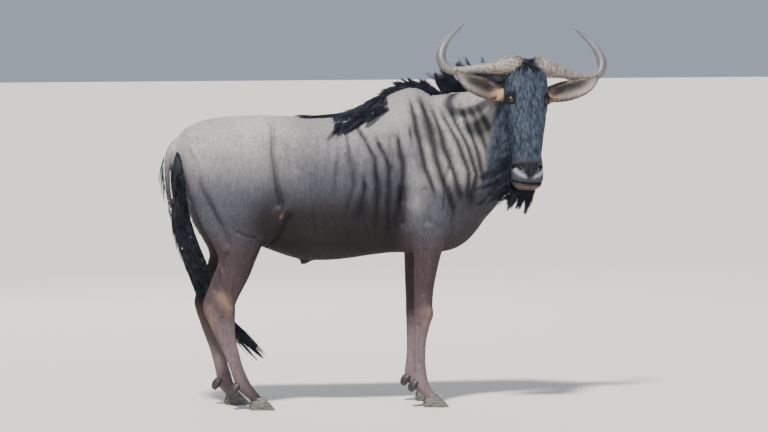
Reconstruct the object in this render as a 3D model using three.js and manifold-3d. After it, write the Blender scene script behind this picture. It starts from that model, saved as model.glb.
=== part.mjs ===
// A blue wildebeest bull at life size, standing with its head turned square to its right.
// Millimetres. +X runs from the tail to the shoulders, +Y to the animal's left, +Z up; it stands on Z = 0.
import * as THREE from "three";
import { mergeVertices } from "three/addons/utils/BufferGeometryUtils.js";
import Module from "manifold-3d";

const wasm = await Module();
wasm.setup();

// Driving dimensions of the parting and the small parts.
const GAP = 0.35; // between a part and what it is set into
const FIT = 0.3; // width of a parting cut
const BACK_CUT_X = 330; // behind the shoulder blades
const LOIN_CUT_X = -60; // in front of the thighs
const HEAD_ORIGIN = [905, -215, 1420]; // crown of the head, between the horn bosses
const HEAD_TURN = -84; // degrees, from the body's line to the animal's right
const HEAD_PITCH = 10; // degrees, how far the nose pokes forward of straight down
const HEAD_ROLL = -2.7; // degrees, muzzle towards the tail
const EYE_RADIUS = 20;
const EYE_AT = [73, 34, 158]; // across, forward and down from the crown
const EAR_WALL = 5;
const LOCK_SINK = 16; // how deep a lock's root goes

// The trunk from the tail: [x, top, bottom, half width, height of the widest place, fullness above, below].
const TRUNK = [
  [-538, 1062, 1000, 28, 1032, 2, 2],
  [-524, 1102, 935, 76, 1016, 2, 2],
  [-476, 1158, 860, 132, 1000, 2, 2],
  [-390, 1194, 775, 172, 990, 2.1, 2],
  [-280, 1208, 706, 184, 975, 2.2, 2.1],
  [-150, 1210, 655, 195, 940, 2.1, 2.2],
  [-20, 1206, 610, 210, 905, 2, 2.2],
  [100, 1205, 600, 220, 895, 1.9, 2.1],
  [210, 1222, 608, 220, 900, 1.8, 2.1],
  [300, 1262, 620, 212, 910, 1.7, 2.1],
  [390, 1308, 628, 202, 915, 1.65, 2.1],
  [470, 1328, 626, 192, 920, 1.65, 2.1],
  [550, 1290, 640, 148, 930, 1.7, 2.1],
  [625, 1200, 690, 92, 930, 1.8, 2],
  [680, 1060, 780, 40, 920, 2, 2],
];
// From here on: [x, y, z, front, back, side, fullness in front, behind], where a neck's front is its top.
const NECK = [
  [470, 0, 1000, 322, 366, 174, 1.75, 2.1],
  [560, -2, 1005, 316, 376, 172, 1.75, 2.1],
  [650, -14, 1040, 286, 300, 143, 1.8, 2],
  [735, -44, 1095, 238, 248, 118, 1.8, 2],
  [805, -82, 1150, 190, 196, 99, 1.8, 2],
  [858, -125, 1205, 152, 166, 86, 1.9, 2],
  [888, -172, 1258, 122, 155, 78, 2, 2],
  [896, -215, 1300, 90, 130, 68, 2, 2],
];
// The head in its own frame: across, forward of the crown, down the face.
const HEAD = [
  [0, -8, -20, 20, 36, 34, 2, 2],
  [0, -4, -4, 44, 70, 62, 2.3, 2],
  [0, 0, 36, 62, 100, 82, 2.5, 2],
  [0, 0, 90, 70, 124, 92, 2.6, 2],
  [0, 0, 150, 72, 138, 93, 2.6, 1.9],
  [0, 0, 200, 72, 142, 86, 2.6, 1.9],
  [0, 0, 255, 71, 126, 78, 2.7, 1.9],
  [0, 0, 315, 71, 98, 68, 2.8, 1.9],
  [0, 0, 375, 68, 76, 62, 2.8, 2],
  [0, 0, 425, 63, 64, 66, 2.7, 2.1],
  [0, 0, 462, 58, 60, 69, 2.6, 2.2],
  [0, 0, 494, 48, 54, 68, 2.4, 2.2],
  [0, 0, 516, 32, 44, 57, 2.2, 2.1],
  [0, 0, 530, 12, 24, 34, 2, 2],
];
// Swellings and hollows of the head: [across, forward, down, radius, height]. Each is made on both sides.
const HEAD_FORMS = [
  [78, 46, 128, 34, 9], // brow over the eye
  [80, 22, 192, 26, 5], // lower rim of the socket
  [74, 50, 168, 20, -7], // hollow in front of the eye
  [66, -70, 205, 60, 9], // cheek
  [60, 10, 250, 46, 5], // cheekbone
  [46, 46, 330, 46, -5], // hollow beside the nose
  [0, 72, 290, 80, 5], // bridge of the nose
  [54, 42, 436, 26, 6], // wing of the nostril
  [0, 60, 452, 26, -4], // furrow between the nostrils
  [62, 0, 488, 30, 3], // upper lip
];
const HORN = [
  [26, 4, 8, 30, 34, 46, 2.4, 2],
  [52, 6, 12, 38, 38, 52, 2.4, 2],
  [82, 6, 15, 37, 37, 50, 2.2, 2],
  [131, 2, 22, 29, 29, 36, 2, 2],
  [186, -14, 28, 20.5, 20.5, 24, 2, 2],
  [240, -28, 35, 18, 18, 19, 2, 2],
  [292, -39, 38, 18.5, 18.5, 18.5, 2, 2],
  [330, -47, 22, 20, 20, 21, 2, 2],
  [346, -56, -12, 21, 21, 21, 2, 2],
  [340, -64, -50, 19, 19, 19, 2, 2],
  [321, -70, -84, 15.5, 15.5, 15.5, 2, 2],
  [297, -76, -112, 11, 11, 11, 2, 2],
  [265, -81, -140, 6.5, 6.5, 6.5, 2, 2],
  [238, -84, -163, 1.6, 1.6, 1.6, 2, 2],
];
const LEFT_HORN_SAG = [0, 0, 2, 6, 12, 14, 8, 3, 0, 0, 0, 0, 0, 0]; // how much lower the left horn hangs
// An ear's blade; its front is the lower edge.
const EAR = [
  [70, -40, 140, 18, 24, 19, 2, 2],
  [98, -39, 131, 27, 34, 20, 2, 2],
  [128, -30, 121, 36, 38, 21, 2, 2],
  [164, -17, 110, 44, 40, 22, 2, 2],
  [206, -3, 98, 45, 37, 19, 2, 2],
  [246, 8, 86, 38, 31, 14, 2, 2],
  [278, 14, 70, 24, 24, 9, 2, 2],
  [306, 17, 44, 6, 7, 3.5, 2, 2],
];
const EAR_CUP_SHIFT = 15; // how far the hollow is set forward in the blade
const EAR_CUP_FROM = 0.26; // share of the blade where the hollow starts
// A foreleg, shoulder to pastern, for the right side.
const FORELEG = [
  [495, -96, 1150, 66, 66, 30, 2, 2],
  [500, -116, 1050, 84, 86, 46, 2, 2],
  [514, -132, 950, 98, 102, 57, 2, 2],
  [521, -140, 850, 106, 110, 62, 2, 2],
  [518, -140, 780, 102, 106, 58, 2, 2],
  [512, -136, 722, 92, 98, 53, 2.1, 2],
  [507, -130, 668, 78, 64, 47, 2.1, 2],
  [502, -127, 590, 61, 51, 42, 2, 2],
  [497, -125, 500, 46, 44, 35, 2, 2],
  [495, -125, 425, 41, 40, 34, 2.2, 2],
  [496, -125, 382, 43, 41, 38, 2.4, 2.2],
  [490, -125, 336, 35, 34, 32, 2.2, 2.2],
  [483, -125, 270, 27, 27, 24, 2.1, 2.2],
  [481, -125, 190, 26, 27, 23, 2.1, 2.2],
  [483, -125, 125, 31, 37, 29, 2.1, 2.2],
  [490, -125, 90, 34, 40, 32, 2.1, 2.2],
  [508, -125, 62, 34, 34, 32, 2.2, 2.2],
  [524, -125, 42, 34, 30, 32, 2.3, 2.3],
  [530, -125, 32, 30, 27, 30, 2.3, 2.3],
];
// A hind leg, haunch to pastern, for the right side.
const HINDLEG = [
  [-345, -92, 1090, 110, 110, 46, 2, 2],
  [-350, -106, 1000, 160, 152, 74, 2, 2],
  [-318, -118, 900, 186, 170, 86, 2.1, 2],
  [-282, -125, 820, 186, 176, 84, 2.1, 2],
  [-280, -129, 750, 152, 151, 69, 2.1, 2],
  [-280, -129, 690, 116, 115, 55, 2, 2],
  [-280, -127, 622, 86, 83, 44, 2, 2],
  [-305, -125, 553, 82, 81, 36, 1.9, 1.7],
  [-328, -123, 500, 77, 77, 33, 1.9, 1.7],
  [-352, -122, 440, 71, 73, 35, 2.1, 1.9],
  [-350, -121, 398, 66, 67, 35, 2.2, 2],
  [-338, -120, 345, 53, 55, 31, 2.2, 2.1],
  [-327, -120, 300, 45, 45, 27, 2.1, 2.2],
  [-306, -120, 240, 37, 36, 24, 2.1, 2.2],
  [-286, -120, 184, 32, 32, 23, 2.1, 2.2],
  [-262, -120, 122, 34, 35, 29, 2.1, 2.2],
  [-244, -120, 88, 38, 40, 32, 2.1, 2.2],
  [-220, -120, 62, 35, 36, 32, 2.2, 2.2],
  [-202, -120, 42, 33, 31, 32, 2.3, 2.3],
  [-194, -120, 32, 30, 27, 30, 2.3, 2.3],
];
const LEFT_HIND_STEP = -38; // how far the left hind foot stands behind the right one
const LEFT_HIND_TUCK = -30; // how much further back its hoof stands under the fetlock
const LEFT_FORE_STEP = 13; // how far the left fore leg stands in front of the right one
const STEP_FROM = { fore: 900, hind: 430 }; // height from which a leg steps out
// A toe, from the ground up: [height, heel, tip, half width], heel and tip from the coronet's middle.
const TOE = [
  [0, -34, 70, 15],
  [16, -34, 58, 16],
  [34, -29, 40, 15],
  [52, -22, 22, 12],
];
const TOE_SPREAD = 17; // from the foot's middle to a toe's middle
const TOE_OUT = 6; // degrees that a toe points away from the middle
const DEWCLAW = [
  [4, 0, 6, 12, 10, 10, 2, 2],
  [-8, 0, -8, 15, 14, 13, 2, 2],
  [-18, 0, -24, 13, 12, 12, 2, 2],
  [-22, 0, -38, 5, 5, 5, 2, 2],
];
const DOCK = [
  [-470, 0, 1096, 34, 40, 34, 2, 2],
  [-512, -14, 1090, 28, 28, 30, 2, 2],
  [-543, -34, 1056, 22, 22, 24, 2, 2],
  [-554, -50, 1010, 18, 20, 21, 2, 2],
  [-556, -58, 955, 16, 18, 19, 2, 2],
  [-550, -62, 890, 14, 15, 17, 2, 2],
  [-536, -60, 825, 12, 12, 14, 2, 2],
  [-518, -54, 765, 8, 8, 10, 2, 2],
];
const TUFT_CORE = [
  [-518, -76, 1058, 8, 8, 10, 2, 2],
  [-520, -92, 1028, 22, 20, 22, 2, 2],
  [-519, -100, 970, 27, 25, 26, 2, 2],
  [-515, -100, 900, 32, 30, 29, 2, 2],
  [-512, -86, 830, 40, 38, 32, 2, 2],
  [-498, -70, 760, 42, 42, 33, 2, 2],
  [-474, -54, 690, 45, 44, 33, 2, 2],
  [-448, -38, 620, 48, 46, 31, 2, 2],
  [-423, -25, 560, 48, 46, 28, 2, 2],
  [-402, -12, 500, 38, 40, 26, 2, 2],
  [-374, -6, 440, 30, 30, 22, 2, 2],
  [-338, -5, 390, 25, 22, 18, 2, 2],
  [-272, -5, 320, 28, 27, 15, 2, 2],
  [-222, -5, 268, 22, 22, 11, 2, 2],
  [-196, -5, 238, 6, 6, 5, 2, 2],
];
const SHEATH = [
  [60, 0, 640, 26, 30, 24, 2, 2],
  [30, 0, 608, 22, 24, 20, 2, 2],
  [8, 0, 592, 13, 14, 12, 2, 2],
  [-2, 0, 584, 5, 5, 5, 2, 2],
];

const material = (color, roughness) => new THREE.MeshStandardMaterial({ color, roughness, metalness: 0 });
const COAT = material("#756d69", 0.8);
const DARK_COAT = material("#3d3634", 0.8);
const FACE_COAT = material("#2b2b30", 0.75);
const HAIR = material("#1a1b20", 0.7);
const HORN_SHEATH = material("#8d8179", 0.6);
const HOOF = material("#45423f", 0.5);
const EYE = material("#120d0a", 0.1);
const EAR_COAT = material("#8b7464", 0.8);

const X = new THREE.Vector3(1, 0, 0);
const Y = new THREE.Vector3(0, 1, 0);
const Z = new THREE.Vector3(0, 0, 1);
const rad = THREE.MathUtils.degToRad;
const vec = (values) => new THREE.Vector3(...values);

// Repeatable random numbers from 0 to 1.
function randomFrom(seed) {
  let state = seed;
  return () => {
    state = (state + 0x6d2b79f5) | 0;
    let t = Math.imul(state ^ (state >>> 15), 1 | state);
    t = (t + Math.imul(t ^ (t >>> 7), 61 | t)) ^ t;
    return ((t ^ (t >>> 14)) >>> 0) / 4294967296;
  };
}

// A row of a table at a place between its rows, on a smooth curve through them.
function between(table, place) {
  const i = Math.min(Math.floor(place), table.length - 2);
  const u = place - i;
  const row = (k) => table[Math.max(0, Math.min(table.length - 1, k))];
  const [a, b, c, d] = [row(i - 1), row(i), row(i + 1), row(i + 2)];
  return b.map((_, k) => {
    const square = (2 * a[k] - 5 * b[k] + 4 * c[k] - d[k]) * u * u;
    const cubic = (3 * b[k] - a[k] - 3 * c[k] + d[k]) * u ** 3;
    return b[k] + 0.5 * ((c[k] - a[k]) * u + square + cubic);
  });
}

// A skin over the stations of a table. Its sections stand square to its course, or to a fixed direction,
// and sideways gives the direction of a section's side.
function loft(table, { sideways = () => Y, square = null, forms = [] } = {}) {
  const last = table.length - 1;
  const frame = (t, grow) => {
    const place = t * last;
    const s = between(table, place);
    const ahead = between(table, Math.min(place + 0.05, last));
    const behind = between(table, Math.max(place - 0.05, 0));
    const course = vec(ahead.slice(0, 3)).sub(vec(behind.slice(0, 3))).normalize();
    const tangent = square ?? course;
    const side = sideways(tangent).clone();
    side.addScaledVector(tangent, -side.dot(tangent)).normalize();
    const front = new THREE.Vector3().crossVectors(tangent, side);
    const centre = vec(s.slice(0, 3)).addScaledVector(tangent, t === 0 ? -grow : t === 1 ? grow : 0);
    return { centre, tangent, side, front, sizes: s.slice(3) };
  };
  const point = (t, angle, grow = 0) => {
    const { centre, side, front, sizes } = frame(t, grow);
    const [ahead, behind, across, fullAhead, fullBehind] = sizes;
    const cos = Math.cos(angle);
    const sin = Math.sin(angle);
    const power = 2 / (sin >= 0 ? fullAhead : fullBehind);
    const reach = (sin >= 0 ? ahead : behind) + grow;
    const p = centre.clone();
    p.addScaledVector(side, Math.sign(cos) * Math.abs(cos) ** power * (across + grow));
    p.addScaledVector(front, Math.sign(sin) * Math.abs(sin) ** power * reach);
    const out = p.clone().sub(centre).normalize();
    for (const [fx, fy, fz, radius, height] of forms) {
      for (const mirror of fx === 0 ? [1] : [1, -1]) {
        const away = p.distanceTo(new THREE.Vector3(fx * mirror, fy, fz)) / radius;
        if (away < 1.6) p.addScaledVector(out, height * Math.exp(-2.5 * away * away));
      }
    }
    return p;
  };
  return { frame, point };
}

// The closed mesh of a loft, with a fan over each end.
function loftGeometry(skin, rings, sides, grow = 0) {
  const positions = [];
  const faces = [];
  for (let r = 0; r <= rings; r++) {
    for (let k = 0; k < sides; k++) {
      positions.push(...skin.point(r / rings, (k / sides) * 2 * Math.PI, grow).toArray());
    }
  }
  for (let r = 0; r < rings; r++) {
    for (let k = 0; k < sides; k++) {
      const next = (k + 1) % sides;
      const [a, b, c, d] = [r * sides + k, r * sides + next, (r + 1) * sides + next, (r + 1) * sides + k];
      faces.push(a, c, b, a, d, c);
    }
  }
  for (const [t, ring] of [[0, 0], [1, rings]]) {
    const middle = positions.length / 3;
    positions.push(...skin.frame(t, grow).centre.toArray());
    for (let k = 0; k < sides; k++) {
      const [a, b] = [ring * sides + k, ring * sides + ((k + 1) % sides)];
      faces.push(...(t === 0 ? [middle, a, b] : [middle, b, a]));
    }
  }
  const geometry = new THREE.BufferGeometry();
  geometry.setAttribute("position", new THREE.Float32BufferAttribute(positions, 3));
  geometry.setIndex(faces);
  return geometry;
}

// A solid of a closed geometry, turned right way out where it was mirrored.
function solidOf(geometry, matrix = new THREE.Matrix4()) {
  const bare = new THREE.BufferGeometry();
  bare.setAttribute("position", geometry.getAttribute("position").clone());
  bare.setIndex(geometry.index ? geometry.index.clone() : null);
  bare.applyMatrix4(matrix);
  const merged = mergeVertices(bare, 1e-4);
  const corners = merged.index.array;
  const kept = [];
  for (let i = 0; i < corners.length; i += 3) {
    const [a, b, c] = [corners[i], corners[i + 1], corners[i + 2]];
    if (a !== b && b !== c && c !== a) kept.push(a, b, c);
  }
  const triVerts = new Uint32Array(kept);
  const flip = () => {
    for (let i = 0; i < triVerts.length; i += 3) {
      [triVerts[i + 1], triVerts[i + 2]] = [triVerts[i + 2], triVerts[i + 1]];
    }
  };
  const make = () => {
    const vertProperties = merged.attributes.position.array;
    return new wasm.Manifold(new wasm.Mesh({ numProp: 3, vertProperties, triVerts }));
  };
  const solid = make();
  if (solid.volume() > 0) return solid;
  flip();
  return make();
}

function loftSolid(skin, rings, sides, grow, matrix) {
  return solidOf(loftGeometry(skin, rings, sides, grow), matrix);
}
const union = (solids) => solids.reduce((sum, solid) => sum.add(solid));

// The largest closed piece of a solid.
function largest(solid) {
  const pieces = solid.decompose();
  return pieces.reduce((best, piece) => (piece.volume() > best.volume() ? piece : best));
}

// All space on the side of a plane that its normal points to, from half a parting cut away.
function beyond(point, normal) {
  const size = 6000;
  const n = vec(normal).normalize();
  const box = new THREE.BoxGeometry(size, size, size);
  const onto = new THREE.Quaternion().setFromUnitVectors(Z, n);
  const turn = new THREE.Matrix4().makeRotationFromQuaternion(onto);
  turn.setPosition(vec(point).addScaledVector(n, size / 2 + FIT / 2));
  return solidOf(box, turn);
}
const opposite = (normal) => normal.map((value) => -value);

function meshOf(name, solid, look) {
  const { vertProperties, triVerts } = solid.getMesh();
  const geometry = new THREE.BufferGeometry();
  geometry.setAttribute("position", new THREE.BufferAttribute(new Float32Array(vertProperties), 3));
  geometry.setIndex(new THREE.BufferAttribute(new Uint32Array(triVerts), 1));
  const mesh = new THREE.Mesh(geometry, look);
  mesh.name = name;
  return mesh;
}

// The head's frame in the body's: across to the animal's left, forward out of the face, down to the muzzle.
function headMatrix() {
  const heading = new THREE.Vector3(Math.cos(rad(HEAD_TURN)), Math.sin(rad(HEAD_TURN)), 0);
  const across = new THREE.Vector3().crossVectors(Z, heading);
  const pitch = rad(HEAD_PITCH);
  const forward = heading.clone().multiplyScalar(Math.cos(pitch)).addScaledVector(Z, Math.sin(pitch));
  const roll = new THREE.Quaternion().setFromAxisAngle(forward, rad(HEAD_ROLL));
  across.applyQuaternion(roll);
  const down = new THREE.Vector3().crossVectors(across, forward);
  return new THREE.Matrix4().makeBasis(across, forward, down).setPosition(vec(HEAD_ORIGIN));
}
const HEAD_MATRIX = headMatrix();
const inHead = (values) => vec(values).applyMatrix4(HEAD_MATRIX);
const headDirection = (values) => vec(values).transformDirection(HEAD_MATRIX);
const mirrored = new THREE.Matrix4().makeScale(-1, 1, 1);
// The matrix of a thing on one side of the head: 1 is the animal's left, -1 its right.
const headSide = (side) => (side > 0 ? HEAD_MATRIX : HEAD_MATRIX.clone().multiply(mirrored));

const trunkRow = ([x, top, bottom, half, wide, ...fullness]) => {
  return [x, 0, wide, top - wide, wide - bottom, half, ...fullness];
};
const trunkSkin = loft(TRUNK.map(trunkRow), { square: X });
const neckSkin = loft(NECK, { sideways: (tangent) => new THREE.Vector3().crossVectors(Z, tangent) });
const headSkin = loft(HEAD, { sideways: () => X, square: Z, forms: HEAD_FORMS });
const saggedHorn = HORN.map(([x, y, z, ...sizes], k) => [x, y, z + LEFT_HORN_SAG[k], ...sizes]);
const hornSkin = (side) => loft(side > 0 ? saggedHorn : HORN);
const earSkin = loft(EAR);
const tuftSkin = loft(TUFT_CORE);
const dockSkin = loft(DOCK);

// One lock of hair: a flat, tapered blade that rises along out and bends to lie. across gives the direction
// of its width from its tangent.
function lock({ root, out, lie, length, width, thickness = 6, rise = 0.35, across, steps = 4 }) {
  const path = (t) => {
    const p = root.clone().addScaledVector(out, length * rise * (2 * t - t * t));
    return p.addScaledVector(lie, length * t ** 1.4);
  };
  const flat = new THREE.Vector3().crossVectors(lie, out).normalize();
  const row = (place, taper) => {
    const thick = (thickness / 2) * taper;
    return [...place.toArray(), thick, thick, (width / 2) * taper, 2, 2];
  };
  const table = [row(root.clone().addScaledVector(out, -LOCK_SINK), 1)];
  for (let k = 0; k <= steps; k++) {
    const t = k / steps;
    table.push(row(path(t), k === steps ? 0 : 1 - 0.5 * t * t));
  }
  return loftSolid(loft(table, { sideways: across ?? (() => flat) }), steps + 1, 4);
}

// Hair along the crest of a skin, a sheet of blades seen broad from the side. lean is 1 where it lies back
// along the crest and 0 where it stands.
function crest(skin, from, to, count, seed, { length, lean, rise, width = 20 }) {
  const random = randomFrom(seed);
  const locks = [];
  for (let k = 0; k < count; k++) {
    const share = (k + 0.5) / count;
    const t = from + (to - from) * share;
    const spread = (random() - 0.5) * 0.34;
    const root = skin.point(t, Math.PI / 2 + spread);
    const side = skin.frame(t, 0).side.clone();
    const back = skin.point(t - 0.03, Math.PI / 2).sub(skin.point(t + 0.03, Math.PI / 2)).normalize();
    const up = new THREE.Vector3().crossVectors(side, back).normalize();
    if (up.z < 0) up.negate();
    const out = up.clone().addScaledVector(side, -spread).normalize();
    const tilt = Math.min(1, lean(share) + 0.24 * (random() - 0.5));
    const lie = back.clone().multiplyScalar(tilt).addScaledVector(up, 1.02 - tilt);
    lie.addScaledVector(side, (random() - 0.6) * 0.3).normalize();
    const across = (direction) => new THREE.Vector3().crossVectors(direction, side);
    const long = length(share) * (0.8 + 0.4 * random());
    locks.push(lock({ root, out, lie, length: long, width, rise: rise(share), across }));
  }
  return locks;
}

// Hair that lies on a skin and is kept from diving into it. Each spot is [place along the skin, angle
// round it, length].
function lyingHair(skin, matrix, spots, seed, { lie, wander = 0.3, width = 19, rise = 0.16, steps = 3 }) {
  const random = randomFrom(seed);
  return spots.map(([t, angle, length]) => {
    const { centre } = skin.frame(t, 0);
    const root = skin.point(t, angle);
    const out = root.clone().sub(centre).normalize();
    if (matrix) {
      root.applyMatrix4(matrix);
      out.transformDirection(matrix);
    }
    const way = vec([random() - 0.5, random() - 0.5, random() - 0.5]);
    way.multiplyScalar(wander).add(vec(lie));
    way.addScaledVector(out, -0.75 * Math.min(0, way.dot(out))).normalize();
    return lock({ root, out, lie: way, length: length * (0.85 + 0.3 * random()), width, rise, steps });
  });
}

// Spots in rows along a skin, each row fanned round it from one angle to another.
function rowsOfSpots(from, to, rows, angles, lengthAt) {
  const spots = [];
  for (let r = 0; r < rows; r++) {
    const share = rows === 1 ? 0 : r / (rows - 1);
    angles.forEach((angle, k) => {
      const half = ((k % 2) * 0.5 * (to - from)) / Math.max(1, rows - 1);
      spots.push([Math.min(1, from + (to - from) * share + half), angle, lengthAt(share)]);
    });
  }
  return spots;
}

// A leg's loft for one side; the left one is mirrored, steps out below a height and may tuck its hoof in.
function legSkin(table, side, step, from, tuck) {
  const share = (value) => Math.min(1, Math.max(0, value));
  const moved = table.map(([x, y, z, ...sizes]) => {
    const shift = step * share((from - z) / (from - 120)) + tuck * share((122 - z) / 90);
    return [x + shift, side > 0 ? -y : y, z, ...sizes];
  });
  return loft(moved, { square: Z.clone().negate() });
}

// A toe of a foot whose leg ends over [x, y]; way is 1 for the left toe and -1 for the right one.
function toeSolid(x, y, way, grow) {
  const rows = TOE.map(([z, heel, tip, half]) => {
    return [(heel + tip) / 2, 0, z, (tip - heel) / 2, (tip - heel) / 2, half, 1.8, 2.6];
  });
  const place = new THREE.Matrix4().makeRotationZ(rad(TOE_OUT * way));
  place.setPosition(x, y + TOE_SPREAD * way, 0);
  return loftSolid(loft(rows, { square: Z }), 3, 10, grow, place);
}

const UP = [0, 0, 1];
const DOWN = [0, 0, -1];
const parts = new THREE.Group();
const sideName = (side) => (side > 0 ? "left" : "right");

// Legs. Each is an upper length, a lower length, two toes and two dewclaws.
const legs = [];
for (const [kind, table, parting, top] of [["fore", FORELEG, 388, 742], ["hind", HINDLEG, 430, 930]]) {
  for (const side of [-1, 1]) {
    const step = side < 0 ? 0 : kind === "hind" ? LEFT_HIND_STEP : LEFT_FORE_STEP;
    const tuck = side > 0 && kind === "hind" ? LEFT_HIND_TUCK : 0;
    const skin = legSkin(table, side, step, STEP_FROM[kind], tuck);
    const whole = (grow) => loftSolid(skin, Math.round(table.length * 0.9), 12, grow);
    const foot = skin.frame(1, 0).centre;
    const fetlock = skin.frame((table.length - 4.9) / (table.length - 1), 0).centre;
    const horny = [];
    for (const way of [1, -1]) {
      const where = way === side ? "outer" : "inner";
      horny.push([`toe_${where}`, (grow) => toeSolid(foot.x, foot.y, way, grow)]);
      const claw = fetlock.clone().add(vec([-21, 18 * way, -16]));
      const place = new THREE.Matrix4().setPosition(claw);
      horny.push([`dewclaw_${where}`, (grow) => loftSolid(loft(DEWCLAW), 4, 7, grow, place)]);
    }
    legs.push({ kind, side, whole, horny, parting, top });
  }
}

for (const { kind, side, whole, horny, parting, top } of legs) {
  const name = `${kind}leg_${sideName(side)}`;
  const leg = whole(0).subtract(union(horny.map(([, make]) => make(GAP))));
  const upper = leg.intersect(beyond([0, 0, parting], UP)).intersect(beyond([0, 0, top], DOWN));
  const lower = leg.intersect(beyond([0, 0, parting], DOWN));
  parts.add(meshOf(`${name}_upper`, largest(upper), DARK_COAT));
  parts.add(meshOf(`${name}_lower`, largest(lower), DARK_COAT));
  for (const [part, make] of horny) parts.add(meshOf(`${name}_${part}`, make(0), HOOF));
}

// Horns, eyes and ears, each set into the head.
const eyeAt = (side) => (grow) => {
  const ball = new THREE.SphereGeometry(EYE_RADIUS + grow, 10, 7);
  return solidOf(ball, headSide(side).clone().multiply(new THREE.Matrix4().makeTranslation(...EYE_AT)));
};
const earAt = (side) => (grow) => {
  const blade = loftSolid(earSkin, 9, 11, grow, headSide(side));
  const cupRow = ([x, y, z, ahead, behind, across, ...fullness]) => {
    const rim = EAR_WALL * 0.7;
    const deep = Math.max(0.5 * across, across - EAR_WALL) + 4;
    return [x, y + EAR_CUP_SHIFT, z, ahead - rim, behind - rim, deep, ...fullness];
  };
  const cup = loft(EAR.map(cupRow).slice(Math.round(EAR_CUP_FROM * EAR.length)));
  return largest(blade.subtract(loftSolid(cup, 7, 10, -grow, headSide(side))));
};
const lidAt = (side) => {
  const ring = new THREE.TorusGeometry(EYE_RADIUS - 1, 5, 4, 10);
  const place = new THREE.Matrix4().makeTranslation(EYE_AT[0] + 9, EYE_AT[1] + 5, EYE_AT[2]);
  place.multiply(new THREE.Matrix4().makeRotationY(rad(90)));
  place.multiply(new THREE.Matrix4().makeRotationX(rad(-32)));
  place.multiply(new THREE.Matrix4().makeScale(0.9, 1.12, 1));
  return solidOf(ring, headSide(side).clone().multiply(place));
};

// The mouth: a groove round the muzzle on a plane that rises to its corners.
function mouthGroove() {
  const slab = new THREE.BoxGeometry(240, 130, 3.4);
  const place = new THREE.Matrix4().makeTranslation(0, 22, 494);
  place.multiply(new THREE.Matrix4().makeRotationX(rad(38)));
  const inner = loftSolid(headSkin, 21, 20, -9, HEAD_MATRIX);
  return solidOf(slab, HEAD_MATRIX.clone().multiply(place)).subtract(inner);
}

// A nostril: a slit that curves up and out over the wing of the nose.
function nostril(side) {
  const slit = new THREE.SphereGeometry(1, 10, 8);
  const place = new THREE.Matrix4().makeTranslation(55, 49, 438);
  place.multiply(new THREE.Matrix4().makeRotationZ(rad(-35)));
  place.multiply(new THREE.Matrix4().makeRotationY(rad(24)));
  place.multiply(new THREE.Matrix4().makeScale(15, 14, 7));
  return solidOf(slit, headSide(side).clone().multiply(place));
}

const bothSides = (make) => union([-1, 1].map(make));
const headFlesh = loftSolid(headSkin, 21, 20, 0, HEAD_MATRIX).add(bothSides(lidAt));
const trunkAndNeck = loftSolid(trunkSkin, 18, 24).add(loftSolid(neckSkin, 12, 20));
const flesh = union([trunkAndNeck, headFlesh, loftSolid(loft(SHEATH), 4, 8)]);
const legTop = ({ whole, top }) => whole(0).intersect(beyond([0, 0, top], UP));
const legSocket = ({ whole, top }) => whole(GAP).intersect(beyond([0, 0, top + FIT], DOWN));
const dock = (grow) => loftSolid(dockSkin, 10, 8, grow);

// The mane from the nape over the withers, its fall on the right side, and the beard.
const maneLocks = [
  ...crest(neckSkin, 0.1, 0.88, 16, 11, {
    length: (share) => 100 + 8 * share,
    lean: () => 0.45,
    rise: () => 0.36,
    width: 38,
  }),
  ...crest(trunkSkin, 0.5, 0.84, 17, 23, {
    length: (share) => 128 - 28 * share,
    lean: (share) => 1.05 - 0.42 * share ** 3,
    rise: (share) => 0.08 + 0.18 * share ** 3,
    width: 30,
  }),
  ...lyingHair(trunkSkin, null, rowsOfSpots(0.53, 0.66, 4, [1.78, 2], () => 128), 31, {
    lie: [-0.62, -0.3, -0.72],
    width: 28,
  }),
];
const chinSpots = rowsOfSpots(0.82, 0.92, 2, [-2.3, -1.8, -1.3, -0.9], () => 74);
const throatSpots = rowsOfSpots(0.64, 0.78, 3, [-2.6, -2.1, -1.7], () => 112);
const beardLocks = [
  ...lyingHair(headSkin, HEAD_MATRIX, chinSpots, 7, { lie: DOWN, width: 24 }),
  ...lyingHair(headSkin, HEAD_MATRIX, throatSpots, 9, { lie: [-0.35, 0, -0.9], width: 26 }),
];

// Planes that part the body: before the thighs, behind and before the shoulders, and from nape to jaw.
const nape = inHead([0, -85, 10]);
const jaw = inHead([0, -160, 235]);
const along = jaw.clone().sub(nape).normalize();
const headNormal = new THREE.Vector3(0.574, -0.819, 0);
headNormal.addScaledVector(along, -headNormal.dot(along)).normalize();
const planes = [
  [[LOIN_CUT_X, 0, 0], [1, 0, 0]],
  [[BACK_CUT_X, 0, 0], [1, 0, 0]],
  [[615, 0, 1000], [0.994, 0, 0.11]],
  [nape.clone().lerp(jaw, 0.5).toArray(), headNormal.toArray()],
];
// The piece of a solid between two neighbouring planes.
function portion(solid, index) {
  let piece = solid;
  if (index > 0) piece = piece.intersect(beyond(...planes[index - 1]));
  if (index < planes.length) {
    const [point, normal] = planes[index];
    piece = piece.intersect(beyond(point, opposite(normal)));
  }
  return largest(piece);
}

const horns = [-1, 1].map((side) => (grow) => loftSolid(hornSkin(side), 22, 8, grow, headSide(side)));
const onHead = (grow) => union([...horns, earAt(-1), earAt(1)].map((make) => make(grow)));
const openings = union([bothSides((side) => eyeAt(side)(GAP)), mouthGroove(), nostril(-1), nostril(1)]);
const fleshOpened = flesh.subtract(openings);
const coat = union([...maneLocks, ...beardLocks]);
const onLegs = fleshOpened.add(coat).subtract(onHead(GAP)).add(union(legs.map(legTop)));
const body = onLegs.subtract(union(legs.map(legSocket))).subtract(dock(GAP));

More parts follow.
